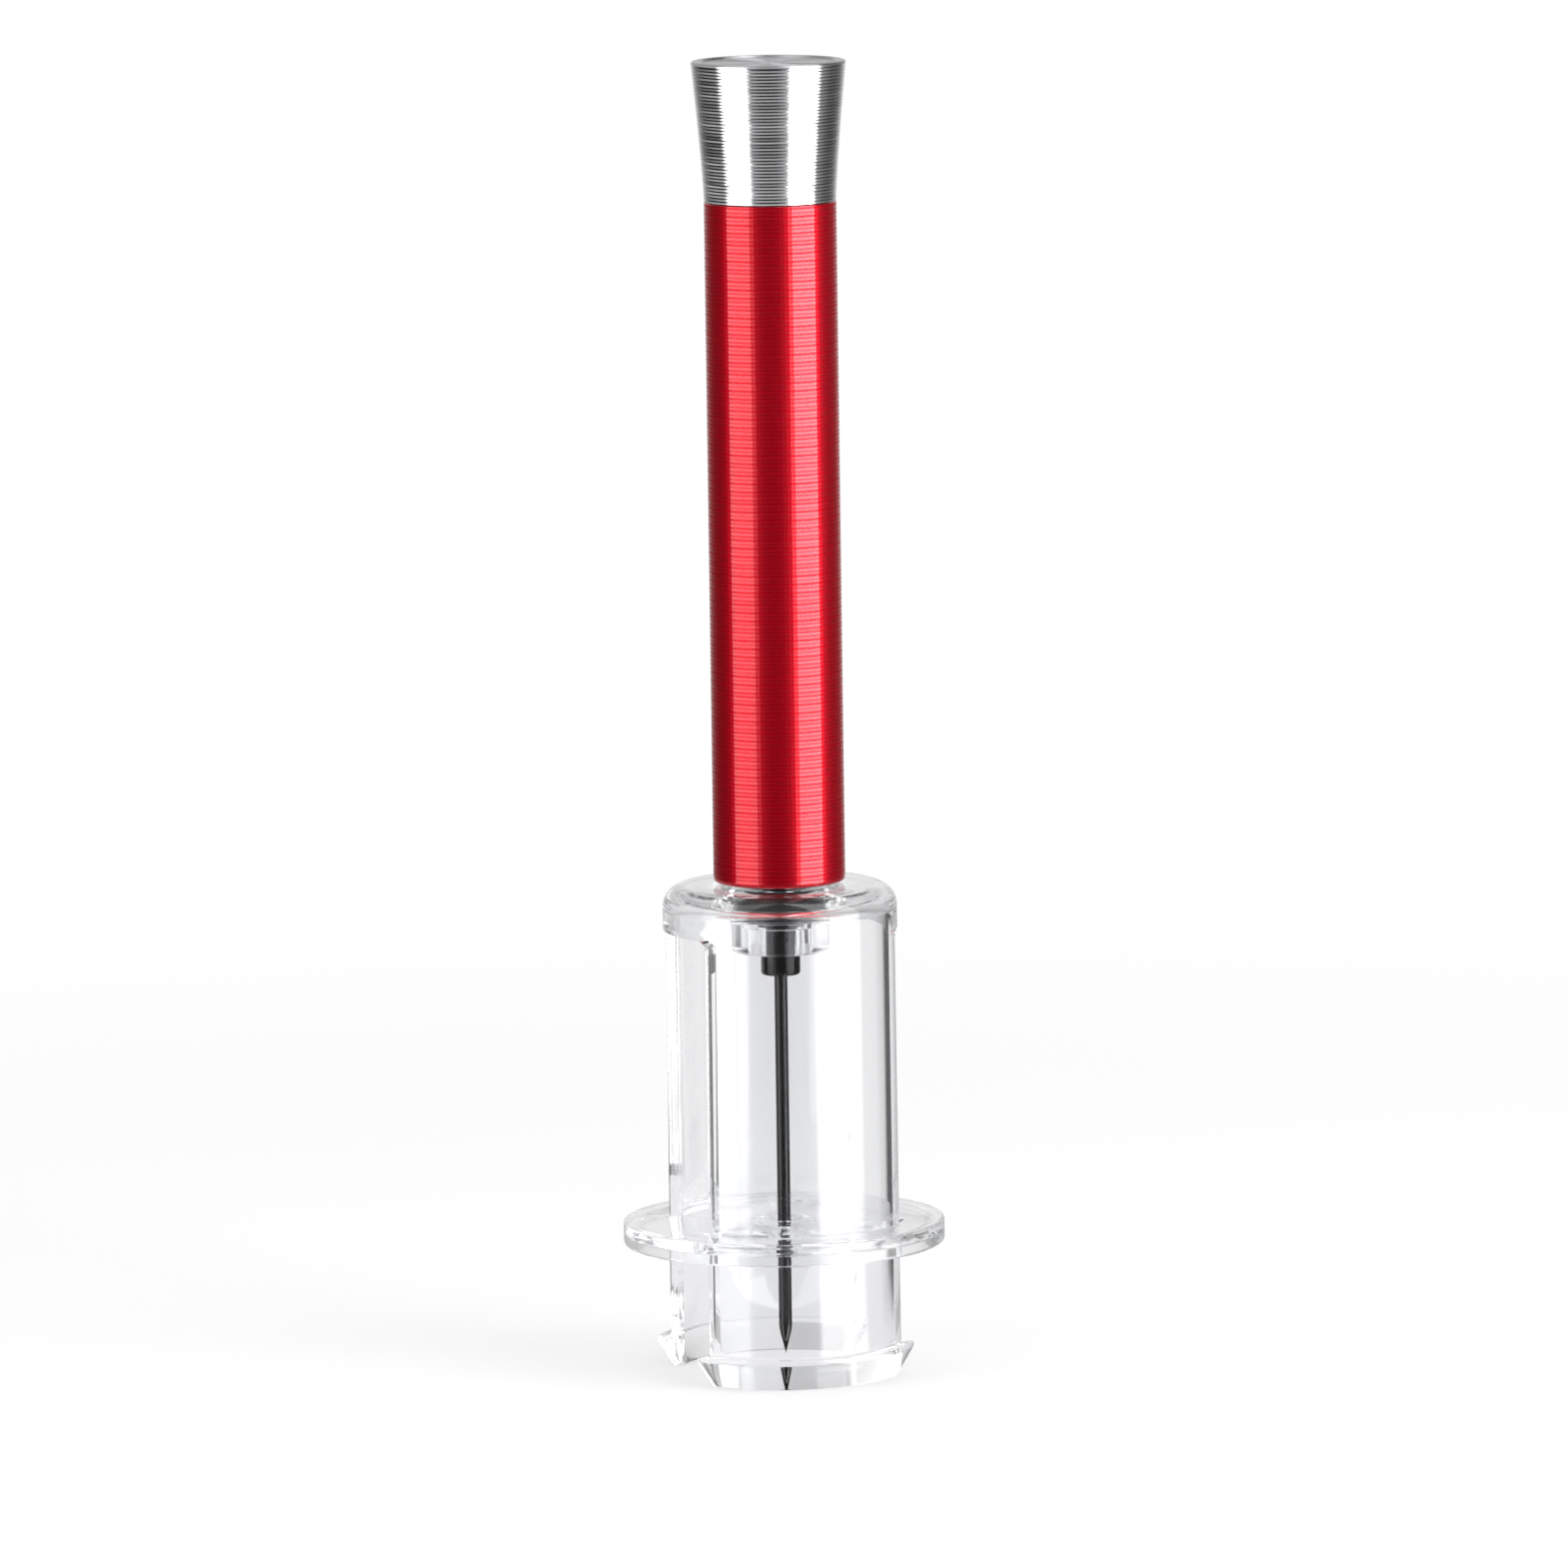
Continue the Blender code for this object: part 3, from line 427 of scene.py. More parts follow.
def bevel_edges(piece, wanted, width, steps):
    """Round the edges for which a test is true."""
    bpy.ops.object.select_all(action="DESELECT")
    piece.select_set(True)
    bpy.context.view_layer.objects.active = piece
    bpy.ops.object.mode_set(mode="EDIT")
    select_edges(piece, wanted)
    bpy.ops.mesh.bevel(offset=width, segments=steps, affect="EDGES", clamp_overlap=True)
    bpy.ops.object.mode_set(mode="OBJECT")


def carve(piece, cutter):
    """Cut one piece with another, and remove the cutter."""
    boolean = piece.modifiers.new("cut", "BOOLEAN")
    boolean.operation = "DIFFERENCE"
    boolean.solver = "EXACT"
    boolean.object = cutter
    bpy.ops.object.select_all(action="DESELECT")
    piece.select_set(True)
    bpy.context.view_layer.objects.active = piece
    bpy.ops.object.modifier_apply(modifier=boolean.name)
    bpy.data.objects.remove(cutter, do_unlink=True)


def smooth(piece, degrees=30):
    """Shade a piece smooth between edges sharper than an angle."""
    bpy.ops.object.select_all(action="DESELECT")
    piece.select_set(True)
    bpy.context.view_layer.objects.active = piece
    bpy.ops.object.shade_smooth_by_angle(angle=math.radians(degrees))


def settle(piece, material, body, node):
    """Give a piece its finish and its body, and hide the CAD node that it stands for."""
    piece.data.materials.clear()
    piece.data.materials.append(material)
    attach(piece, body)
    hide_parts(node)


# Turned grooves of the cap and the tube
GROOVE_SWELL = 0.14
SHALLOWEST_GROOVE = 0.65
CAP_GROOVE_PITCH = 0.486 * MM
CAP_GROOVE_BEAT = 0.85 * MM
CAP_GROOVE_DEPTH = 0.07 * MM
CAP_GROOVE_SEED = 11
TUBE_GROOVE_PITCH = 0.609 * MM
TUBE_GROOVE_BEAT = 1.39 * MM
TUBE_GROOVE_DEPTH = 0.02 * MM
TUBE_GROOVE_SEED = 23


def grooved(radius_at, low, high, pitch, beat, depth, seed):
    """Points down a turned side: one V groove a pitch, cut deeper and shallower by chance and in a beat."""
    chance = random.Random(seed)
    count = round((high - low) / pitch)
    points = []
    for index in range(count):
        ridge = high - (high - low) * index / count
        valley = high - (high - low) * (index + 0.5) / count
        swell = 1 - GROOVE_SWELL + GROOVE_SWELL * math.cos(2 * math.pi * (high - valley) / beat)
        cut = depth * swell * chance.uniform(SHALLOWEST_GROOVE, 1.0)
        points.append((radius_at(ridge), ridge))
        points.append((radius_at(valley) - cut, valley))
    points.append((radius_at(low), low))
    return points


# Cap and tube
CAP_FLARE_POWER = 1.25
CAP_DISH = 0.3 * MM
CAP_DISH_FILLET = 0.2 * MM
CAP_BAND = 1.2 * MM
CAP_BAND_SLOPE = 0.25 * MM
CAP_BAND_ROUNDING = 0.15 * MM
CAP_EDGE = 0.5 * MM
CAP_EDGE_ROUNDING = 0.4 * MM
CAP_FOOT_EDGE = 0.06 * MM
CAP_SOCKET_RADIUS = 6.0 * MM
CAP_SOCKET_TOP = 8.65 * MM
TUBE_WALL = 1.0 * MM
TUBE_FOOT_EDGE = 0.7 * MM
TUBE_TOP_EDGE = 0.06 * MM
JOINT_LINE = 0.14 * MM


def make_cap():
    """Flared cap: grooved side, rounded top edge and a shallow dished top."""
    low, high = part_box("handle_cap")
    tube_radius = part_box("handle_tube")[1].x
    side_low = low.z + CAP_FOOT_EDGE
    side_high = high.z - CAP_EDGE

    def flare(height):
        share = (height - low.z) / (side_high - low.z)
        return tube_radius + (high.x - tube_radius) * share ** CAP_FLARE_POWER

    dish_radius = high.x - CAP_EDGE - CAP_BAND
    top_corners = [
        corner(0, high.z - CAP_DISH),
        corner(dish_radius, high.z - CAP_DISH, CAP_DISH_FILLET),
        corner(dish_radius + CAP_BAND_SLOPE, high.z, CAP_BAND_ROUNDING),
        corner(high.x, high.z, CAP_EDGE_ROUNDING),
        corner(high.x, side_high),
    ]
    outline = rounded(top_corners, closed=False)[:-1]
    outline += grooved(flare, side_low, side_high,
                       CAP_GROOVE_PITCH, CAP_GROOVE_BEAT, CAP_GROOVE_DEPTH, CAP_GROOVE_SEED)
    outline += [
        (tube_radius - CAP_FOOT_EDGE, low.z),
        (CAP_SOCKET_RADIUS, low.z),
        (CAP_SOCKET_RADIUS, low.z + CAP_SOCKET_TOP),
        (0, low.z + CAP_SOCKET_TOP),
    ]
    cap = turned("cap", outline, FINE_TURN_STEPS, closed=False)
    settle(cap, cap_side_finish(), "handle", "handle_cap")
    # The top's faces take the copy of the aluminium that is painted darker as shade
    cap.data.materials.append(shaded_cap_top_finish())
    for face in cap.data.polygons:
        on_top = face.center.z > high.z - CAP_DISH - WELD and face.normal.z > 0.5
        face.material_index = 1 if on_top else 0
    smooth(cap, 8)


def make_tube():
    """Grip tube: grooved outside, plain bore, rounded lower edge."""
    low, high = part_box("handle_tube")
    bore = high.x - TUBE_WALL
    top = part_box("handle_cap")[0].z - JOINT_LINE
    first_ridge = top - TUBE_TOP_EDGE
    last_ridge = low.z + 1.2 * TUBE_FOOT_EDGE
    foot = rounded([
        corner(high.x, low.z + 2 * TUBE_FOOT_EDGE),
        corner(high.x, low.z, TUBE_FOOT_EDGE, FINE_ROUND_STEPS),
        corner(bore, low.z),
    ], closed=False)
    outline = [(bore, top), (high.x - TUBE_TOP_EDGE, top)]
    outline += grooved(lambda height: high.x, last_ridge, first_ridge,
                       TUBE_GROOVE_PITCH, TUBE_GROOVE_BEAT, TUBE_GROOVE_DEPTH, TUBE_GROOVE_SEED)
    outline += foot[1:]
    tube = turned("tube", outline, TURN_STEPS)
    settle(tube, tube_finish(first_ridge), "handle", "handle_tube")
    smooth(tube, 2.5)


# Sleeve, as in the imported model
SLEEVE_WALL = 1.75 * MM
SLEEVE_DRAFT = 0.2 * MM
SLEEVE_ROOF = 2.6 * MM
SHOULDER_FILLET = 3.3 * MM
CEILING_FILLET = 1.6 * MM
SLOT_HALF_WIDTH = 9.3 * MM
SLOT_DROP = 4.2 * MM
SLOT_CORNER = 1.6 * MM
BARB_HEIGHT = 4.8 * MM
BARB_LIP = 0.8 * MM
BARB_REACH = 1.75 * MM
FOOT_INSET = 0.45 * MM
BOSS_RADIUS = 7.6 * MM
BOSS_DROP = 7.6 * MM
ROOF_BORE_RADIUS = 5.3 * MM
ROOF_BORE_DEPTH = 5.1 * MM
HEAD_BORE_RADIUS = 3.8 * MM
HEAD_BORE_DEPTH = 1.3 * MM
COLLAR_BORE_RADIUS = 3.3 * MM
RIM_ROUNDING = 0.3 * MM
BARB_ROUNDING = 0.25 * MM
BARB_TIP_ROUNDING = 0.15 * MM
BOSS_ROUNDING = 0.5 * MM
BORE_ROUNDING = 0.1 * MM
BORE_MOUTH_ROUNDING = 0.15 * MM
SLOT_EDGE = 0.2 * MM


def make_sleeve(material):
    """Clear sleeve: shoulder, roof with its boss, two slots open at the bottom, barbed rim."""
    low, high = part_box("clear_sleeve")
    barb_radius = high.y
    rim_radius = barb_radius - BARB_REACH
    top_radius = rim_radius - SLEEVE_DRAFT
    ceiling = high.z - SLEEVE_ROOF
    boss_foot = ceiling - BOSS_DROP
    ledge = high.z - ROOF_BORE_DEPTH
    outline = rounded([
        corner(ROOF_BORE_RADIUS, high.z, RIM_ROUNDING),
        corner(top_radius, high.z, SHOULDER_FILLET, FILLET_STEPS),
        corner(rim_radius, BARB_HEIGHT, BARB_ROUNDING),
        corner(barb_radius, BARB_HEIGHT, BARB_TIP_ROUNDING),
        corner(barb_radius, BARB_HEIGHT - BARB_LIP, BARB_ROUNDING),
        corner(rim_radius - FOOT_INSET, low.z, RIM_ROUNDING),
        corner(rim_radius - SLEEVE_WALL, low.z, RIM_ROUNDING),
        corner(top_radius - SLEEVE_WALL, ceiling, CEILING_FILLET, FILLET_STEPS),
        corner(BOSS_RADIUS, ceiling, BOSS_ROUNDING),
        corner(BOSS_RADIUS, boss_foot, BOSS_ROUNDING),
        corner(COLLAR_BORE_RADIUS, boss_foot, BORE_MOUTH_ROUNDING),
        corner(COLLAR_BORE_RADIUS, ledge - HEAD_BORE_DEPTH, BORE_ROUNDING),
        corner(HEAD_BORE_RADIUS, ledge - HEAD_BORE_DEPTH, BORE_ROUNDING),
        corner(HEAD_BORE_RADIUS, ledge, BORE_ROUNDING),
        corner(ROOF_BORE_RADIUS, ledge, BORE_ROUNDING),
    ])
    sleeve = turned("sleeve", outline, TURN_STEPS)
    slot_top = ceiling - SLOT_DROP
    inner = BOSS_RADIUS + OVERRUN
    for side in (1, -1):
        near, far = sorted((side * inner, side * (barb_radius + OVERRUN)))
        slot = block("slot_cutter", (near, -SLOT_HALF_WIDTH, low.z - OVERRUN),
                     (far, SLOT_HALF_WIDTH, slot_top))
        bevel_edges(slot, lambda edge: edge_along_x(edge) and edge.verts[0].co.z > 0,
                    SLOT_CORNER, SLOT_CORNER_STEPS)
        carve(sleeve, slot)

    def at_slot(edge):
        middle = (edge.verts[0].co + edge.verts[1].co) / 2
        inside = abs(middle.y) < SLOT_HALF_WIDTH + WELD and middle.z < slot_top + WELD
        return inside and abs(middle.x) > inner and is_sharp(edge, 50)

    bevel_edges(sleeve, at_slot, SLOT_EDGE, 2)
    settle(sleeve, material, "pump_body", "clear_sleeve")
    smooth(sleeve, 35)


def edge_along_x(edge):
    """Whether an edge runs along X."""
    first, second = edge.verts[0].co, edge.verts[1].co
    return abs(first.y - second.y) < WELD and abs(first.z - second.z) < WELD


def is_sharp(edge, degrees):
    """Whether the faces at an edge meet at more than an angle."""
    return len(edge.link_faces) == 2 and edge.calc_face_angle() > math.radians(degrees)


# Ejector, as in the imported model
EJECTOR_WEB = 2.0 * MM
EJECTOR_RIM = 2.2 * MM
EJECTOR_HUB_RADIUS = 4.7 * MM
FUNNEL_RADIUS = 3.1 * MM
FUNNEL_DEPTH = 2.2 * MM
NEEDLE_HOLE_RADIUS = 1.3 * MM
WALL_GAP_INNER = 15.6 * MM
WALL_GAP_OUTER = 18.5 * MM
TAB_HALF_WIDTH = 9.0 * MM
EJECTOR_EDGE = 0.2 * MM
EJECTOR_RIM_ROUNDING = 0.5 * MM
EJECTOR_HOLE_ROUNDING = 0.1 * MM
FUNNEL_ROUNDING = 0.15 * MM


def make_ejector(material):
    """Clear ejector: outer ring, inner disc with its funnel, and two tabs through the slots."""
    low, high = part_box("ejector_disc")
    web_foot = high.z - EJECTOR_WEB
    outline = rounded([
        corner(FUNNEL_RADIUS, high.z, FUNNEL_ROUNDING),
        corner(high.y, high.z, EJECTOR_RIM_ROUNDING, FINE_ROUND_STEPS),
        corner(high.y, low.z, EJECTOR_RIM_ROUNDING, FINE_ROUND_STEPS),
        corner(high.y - EJECTOR_RIM, low.z, EJECTOR_EDGE),
        corner(high.y - EJECTOR_RIM, web_foot, EJECTOR_EDGE),
        corner(EJECTOR_HUB_RADIUS, web_foot, EJECTOR_EDGE),
        corner(EJECTOR_HUB_RADIUS, low.z, EJECTOR_EDGE),
        corner(NEEDLE_HOLE_RADIUS, low.z, EJECTOR_HOLE_ROUNDING),
        corner(NEEDLE_HOLE_RADIUS, high.z - FUNNEL_DEPTH, EJECTOR_HOLE_ROUNDING),
    ])
    ejector = turned("ejector", outline, TURN_STEPS)
    ring = turned("gap_cutter", [
        (WALL_GAP_INNER, low.z - OVERRUN),
        (WALL_GAP_OUTER, low.z - OVERRUN),
        (WALL_GAP_OUTER, high.z + OVERRUN),
        (WALL_GAP_INNER, high.z + OVERRUN),
    ], TURN_STEPS)
    reach = WALL_GAP_OUTER + OVERRUN
    carve(ring, block("tab_cutter", (-reach, -TAB_HALF_WIDTH, low.z - 2 * OVERRUN),
                      (reach, TAB_HALF_WIDTH, high.z + 2 * OVERRUN)))
    carve(ejector, ring)

    def at_gap(edge):
        middle = (edge.verts[0].co + edge.verts[1].co) / 2
        radius = middle.xy.length
        inside = WALL_GAP_INNER - WELD * 5 < radius < WALL_GAP_OUTER + WELD * 5
        return inside and is_sharp(edge, 50)

    bevel_edges(ejector, at_gap, EJECTOR_EDGE, 2)
    settle(ejector, material, "ejector", "ejector_disc")
    smooth(ejector, 35)


def make_hub(material):
    """Black hub: a head inside the sleeve's boss and a collar below it."""
    low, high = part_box("needle_hub")
    head_foot = high.z - 1.0 * MM
    neck_radius = 2.2 * MM
    collar_radius = 3.0 * MM
    collar_top = low.z + 3.4 * MM
    pocket_radius = 1.7 * MM
    pocket_foot = high.z - 3.3 * MM
    outline = rounded([
        corner(pocket_radius, high.z, 0.1 * MM),
        corner(high.x, high.z, 0.15 * MM),
        corner(high.x, head_foot, 0.15 * MM),
        corner(neck_radius, head_foot),
        corner(neck_radius, collar_top, 0.1 * MM),
        corner(collar_radius, collar_top, 0.15 * MM),
        corner(collar_radius, low.z, 0.45 * MM),
        corner(NEEDLE_HOLE_RADIUS, low.z, 0.15 * MM),
        corner(NEEDLE_HOLE_RADIUS, pocket_foot),
        corner(pocket_radius, pocket_foot),
    ])
    hub = turned("hub", outline, SLIM_STEPS)
    settle(hub, material, "pump_body", "needle_hub")
    smooth(hub)


def make_needle():
    """Hollow needle with a head, a slim point and a cross port above the point."""
    low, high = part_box("needle")
    radius = 1.0 * MM
    bore = 0.5 * MM
    head_foot = high.z - 1.0 * MM
    point_top = low.z + 4 * MM
    point_rounding = 6 * MM
    port = point_top + 2 * MM
    port_radius = 0.35 * MM
    bore_foot = port - 0.8 * MM
    outline = rounded([
        corner(0, bore_foot),
        corner(bore, bore_foot),
        corner(bore, high.z),
        corner(high.x, high.z, 0.1 * MM),
        corner(high.x, head_foot, 0.1 * MM),
        corner(radius, head_foot),
        corner(radius, point_top, point_rounding, FINE_ROUND_STEPS),
        corner(0, low.z),
    ], closed=False)
    needle = turned("needle_tube", outline, SLIM_STEPS, closed=False)
    bpy.ops.object.select_all(action="DESELECT")
    bpy.ops.mesh.primitive_cylinder_add(vertices=24, radius=port_radius, depth=2 * (radius + OVERRUN),
                                        location=(0, 0, port), rotation=(0, math.pi / 2, 0))
    drill = bpy.context.object
    bpy.ops.object.transform_apply(location=True, rotation=True, scale=True)
    carve(needle, drill)
    settle(needle, coated_needle_finish(), "pump_body", "needle")
    smooth(needle)


# Plain rings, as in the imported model
GASKET_BORE = 1.3 * MM
BARREL_BORE = 6.3 * MM
BUSH_BORE = 7.8 * MM


def make_ring(name, node, bore, rounding, material, body):
    """A plain ring or tube with rounded edges, in the place of a node."""
    low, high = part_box(node)
    outline = rounded([
        corner(bore, high.z, rounding),
        corner(high.x, high.z, rounding),
        corner(high.x, low.z, rounding),
        corner(bore, low.z, rounding),
    ])
    ring = turned(name, outline, TURN_STEPS)
    settle(ring, material, body, node)
    smooth(ring)


# Pump base: the gap under its flange, and how far its stud reaches into the roof's plastic, since a piece
# behind an air gap doesn't look black through the plastic
FLANGE_GAP = 0.3 * MM
PRESS_FIT = 0.02 * MM


def make_base(material):
    """Pump base: spigot with its groove, flange on the sleeve's roof and stud pressed into it."""
    low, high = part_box("pump_base")
    flange_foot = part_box("clear_sleeve")[1].z + FLANGE_GAP
    barrel_seat = flange_foot + 2.5 * MM
    stud_radius = ROOF_BORE_RADIUS + PRESS_FIT
    spigot_radius = 6.0 * MM
    groove_radius = spigot_radius - 1.1 * MM
    groove_foot = barrel_seat + 2.0 * MM
    groove_top = groove_foot + 1.9 * MM
    retainer_bore = 3.0 * MM
    retainer_ledge = low.z + 2.8 * MM
    chamber_radius = 2.0 * MM
    seat_hole_radius = 0.8 * MM
    seat_top = high.z - 2.0 * MM
    edge = 0.15 * MM
    outline = rounded([
        corner(seat_hole_radius, high.z),
        corner(spigot_radius, high.z, 0.3 * MM),
        corner(spigot_radius, groove_top, edge),
        corner(groove_radius, groove_top),
        corner(groove_radius, groove_foot),
        corner(spigot_radius, groove_foot, edge),
        corner(spigot_radius, barrel_seat),
        corner(high.x, barrel_seat, 2 * edge),
        corner(high.x, flange_foot, 2 * edge),
        corner(stud_radius, flange_foot),
        corner(stud_radius, low.z, 2 * edge),
        corner(retainer_bore, low.z, edge),
        corner(retainer_bore, retainer_ledge),
        corner(chamber_radius, retainer_ledge),
        corner(chamber_radius, seat_top - (chamber_radius - seat_hole_radius)),
        corner(seat_hole_radius, seat_top),
    ])
    base = turned("base", outline, TURN_STEPS)
    settle(base, material, "pump_body", "pump_base")
    smooth(base)


def finish_nodes(finishes):
    """Give the CAD nodes that stay their finishes, by the record's material slots."""
    for subpart in frame["record"]["subparts"]:
        node = frame["nodes"][subpart["node"]]
        if not node.hide_render:
            node.data.materials.clear()
            node.data.materials.append(finishes[subpart["material_slot"]])


# Studio, by the angle round the opener from the camera's side, in degrees to the right: how bright
# the low walls, the upper walls and the floor look in gloss. The brightest stretches are two softboxes.
GLOSS_TONES = (
    (-180, 0.80, 0.80, 0.90),
    (-164, 0.60, 0.75, 0.66),
    (-144, 0.24, 0.60, 0.22),
    (-125, 0.09, 0.60, 0.05),
    (-106, 0.06, 0.60, 0.04),
    (-90, 0.08, 0.55, 0.06),
    (-84, 0.20, 0.70, 0.16),
    (-79, 3.60, 2.20, 3.60),
    (-37, 3.60, 2.20, 3.60),
    (-32, 0.34, 0.60, 0.28),
    (-14, 0.12, 0.55, 0.07),
    (0, 0.09, 0.50, 0.06),
    (14, 0.12, 0.50, 0.09),
    (33, 0.50, 0.65, 0.45),
    (38, 8.00, 4.00, 7.60),
    (81, 8.00, 4.00, 7.60),
    (86, 0.36, 0.40, 0.36),
    (108, 0.15, 0.19, 0.10),
    (122, 0.13, 0.17, 0.08),
    (140, 0.26, 0.28, 0.14),
    (164, 0.60, 0.70, 0.72),
    (180, 0.80, 0.80, 0.90),
)
# How bright the walls and the floor look through clear plastic: pale behind the opener, with greyer
# stretches of wall and two dark flags on the floor, round a centre to the right of the Z axis, and dark
# at the front between the softboxes
CLEAR_WALLS = (
    (-180, 0.86),
    (-158, 0.78),
    (-146, 0.62),
    (-130, 0.66),
    (-110, 0.72),
    (-82, 0.80),
    (-76, 2.00),
    (-38, 2.00),
    (-32, 0.40),
    (-14, 0.10),
    (14, 0.10),
    (32, 0.40),
    (38, 3.20),
    (80, 3.20),
    (86, 0.86),
    (112, 0.80),
    (126, 0.42),
    (142, 0.38),
    (154, 0.48),
    (162, 0.60),
    (180, 0.62),
)
CLEAR_FLOOR = (
    (-180, 0.86),
    (-150, 0.86),
    (-140, 0.70),
    (-120, 0.66),
    (-110, 0.68),
    (-82, 0.80),
    (-76, 2.00),
    (-38, 2.00),
    (-32, 0.40),
    (-14, 0.10),
    (14, 0.10),
    (32, 0.40),
    (38, 3.20),
    (80, 3.20),
    (86, 0.86),
    (113, 0.84),
    (119, 0.07),
    (141, 0.07),
    (144, 0.86),
    (156, 0.86),
    (159, 0.07),
    (167, 0.07),
    (170, 0.88),
    (180, 0.88),
)
# How far a pale front takes over for rays that run straight through clear plastic
OPEN_FRONT = ((-78, 0.0), (-34, 1.0), (34, 1.0), (40, 0.0))
BRIGHTEST_TONE = 8
FRONT_TONE = (0.80, 0.80, 0.81, 1)
NEAR_CLEAR_FLOOR = (0.86, 0.86, 0.87, 1)
WHITE = (1, 1, 1, 1)
MATT_FILL = (0.55, 0.55, 0.56, 1)
UPPER_WALLS_START = 0.02
UPPER_WALLS_END = 0.10
FLAG_CENTRE = 0.014
UNFLAGGED_FLOOR = 0.06
FLAGGED_FLOOR = 0.14
CLEAR_BOUNCES = 32
FLOOR_RADIUS = 12
SEEN_FLOOR = (0.62, 0.62, 0.62, 1)
FLOOR_LIFT = (0.5, 0.5, 0.5, 1)
MATT_FLOOR = (0.8, 0.8, 0.8, 1)
NEAR_FLOOR = 0.4
FAR_FLOOR = 0.9
NEAR_FLOOR_SHARE = 0.62
WHITE_FLOOR_START = 0.16
WHITE_FLOOR_END = 0.5
LEFT_BOX_AZIMUTH = math.radians(-56)
RIGHT_BOX_AZIMUTH = math.radians(60.5)
BOX_DISTANCE = 0.5
LEFT_BOX_WIDTH = 0.317
RIGHT_BOX_WIDTH = 0.405
BOX_HEIGHT = 0.62
LEFT_BOX_RADIANCE = 1.3
RIGHT_BOX_RADIANCE = 2.6
OVERHEAD_SIZE = 0.9
OVERHEAD_HEIGHT = 1.3
OVERHEAD_RADIANCE = 0.5


def turn_from_camera(finish, place):
    """The angle of a place round the Z axis: 0 and 1 straight behind, 0.5 on the camera's side."""
    across = finish.vector("DOT_PRODUCT", place, TO_RIGHT, "Value")
    towards = finish.vector("DOT_PRODUCT", place, TO_CAMERA, "Value")
    return across.maths("ARCTAN2", across, towards) / (2 * math.pi) + 0.5


def tones(finish, turn, table, column=1):
    """A column of a table: brightness by the angle from the camera's side."""
    stops = ((row[0] / 360 + 0.5, row[column] / BRIGHTEST_TONE) for row in table)
    return finish.scaled(finish.ramp(turn, *stops), BRIGHTEST_TONE)


def ray_mask(finish, kind):
    """1 for rays of this kind."""
    return finish.node("ShaderNodeLightPath", output=kind)


def open_front(finish, turn, seen):
    """Tones through clear plastic with a pale front, but not for rays that were reflected on their way."""
    straight = (1.0 - ray_mask(finish, "Glossy Depth")).most(0.0)
    front = finish.ramp(turn, *((0.5 + degrees / 360, level) for degrees, level in OPEN_FRONT))
    return finish.blend(straight * front, seen, FRONT_TONE)


def light_world():
    """World: white to the camera, walls in gloss and through clear plastic, soft fill elsewhere."""
    world = bpy.data.worlds.new("studio")
    bpy.context.scene.world = world
    finish = Finish(world)
    direction = finish.node("ShaderNodeTexCoord", output="Generated")
    turn = turn_from_camera(finish, direction)
    rise = finish.node("ShaderNodeSeparateXYZ", {}, {"Vector": direction}, "Z")
    upper = finish.ramp(rise, (UPPER_WALLS_START, 0.0), (UPPER_WALLS_END, 1.0))
    gloss = finish.blend(upper, tones(finish, turn, GLOSS_TONES, 1), tones(finish, turn, GLOSS_TONES, 2))
    colour = finish.blend(ray_mask(finish, "Is Glossy Ray"), MATT_FILL, gloss)
    clear = open_front(finish, turn, tones(finish, turn, CLEAR_WALLS))
    colour = finish.blend(ray_mask(finish, "Is Transmission Ray"), colour, clear)
    colour = finish.blend(ray_mask(finish, "Is Camera Ray"), colour, WHITE)
    finish.end(finish.node("ShaderNodeBackground", {}, {"Color": colour, "Strength": 1.0}))


def lay_floor():
    """Pale floor that keeps the opener's shadow and is white to the camera away from it."""
    bpy.ops.object.select_all(action="DESELECT")
    bpy.ops.mesh.primitive_circle_add(vertices=64, radius=FLOOR_RADIUS, fill_type="NGON")
    floor = bpy.context.object
    floor.name = "floor"
    material, finish = new_finish("pale_floor")
    place = finish.node("ShaderNodeTexCoord", output="Object")
    turn = turn_from_camera(finish, place)
    distance = finish.vector("LENGTH", place, output="Value")
    share = finish.spread(distance, NEAR_FLOOR, FAR_FLOOR, NEAR_FLOOR_SHARE, 1.0)
    gloss = finish.glow(finish.scaled(tones(finish, turn, GLOSS_TONES, 3), share))
    from_wall = turn_from_camera(finish, finish.vector("SUBTRACT", place, TO_RIGHT * FLAG_CENTRE))
    flagged = open_front(finish, from_wall, tones(finish, from_wall, CLEAR_FLOOR))
    close = finish.spread(distance, UNFLAGGED_FLOOR, FLAGGED_FLOOR, 1.0, 0.0)
    clear = finish.glow(finish.blend(close, flagged, NEAR_CLEAR_FLOOR))
    lit = finish.node("ShaderNodeBsdfDiffuse", {}, {"Color": SEEN_FLOOR})
    lifted = finish.node("ShaderNodeAddShader", {}, {0: lit, 1: finish.glow(FLOOR_LIFT)})
    away = finish.spread(distance, WHITE_FLOOR_START, WHITE_FLOOR_END, 0.0, 1.0)
    shown = finish.mix(away, lifted, finish.glow(WHITE))
    pale = finish.node("ShaderNodeBsdfDiffuse", {}, {"Color": MATT_FLOOR})
    shader = finish.mix(ray_mask(finish, "Is Camera Ray"), pale, shown)
    shader = finish.mix(ray_mask(finish, "Is Glossy Ray"), shader, gloss)
    finish.end(finish.mix(ray_mask(finish, "Is Transmission Ray"), shader, clear))
    floor.data.materials.append(material)


def hang_lamp(name, place, width, height, radiance):
    """An area lamp that shines on matt surfaces only, because gloss and clear plastic see the tones."""
    bpy.ops.object.light_add(type="AREA", location=place)
    lamp = bpy.context.object
    lamp.name = name
    lamp.visible_camera = False
    lamp.visible_glossy = False
    lamp.visible_transmission = False
    lamp.data.shape = "RECTANGLE"
    lamp.data.size = width
    lamp.data.size_y = height
    lamp.data.energy = radiance * math.pi * width * height
    return lamp


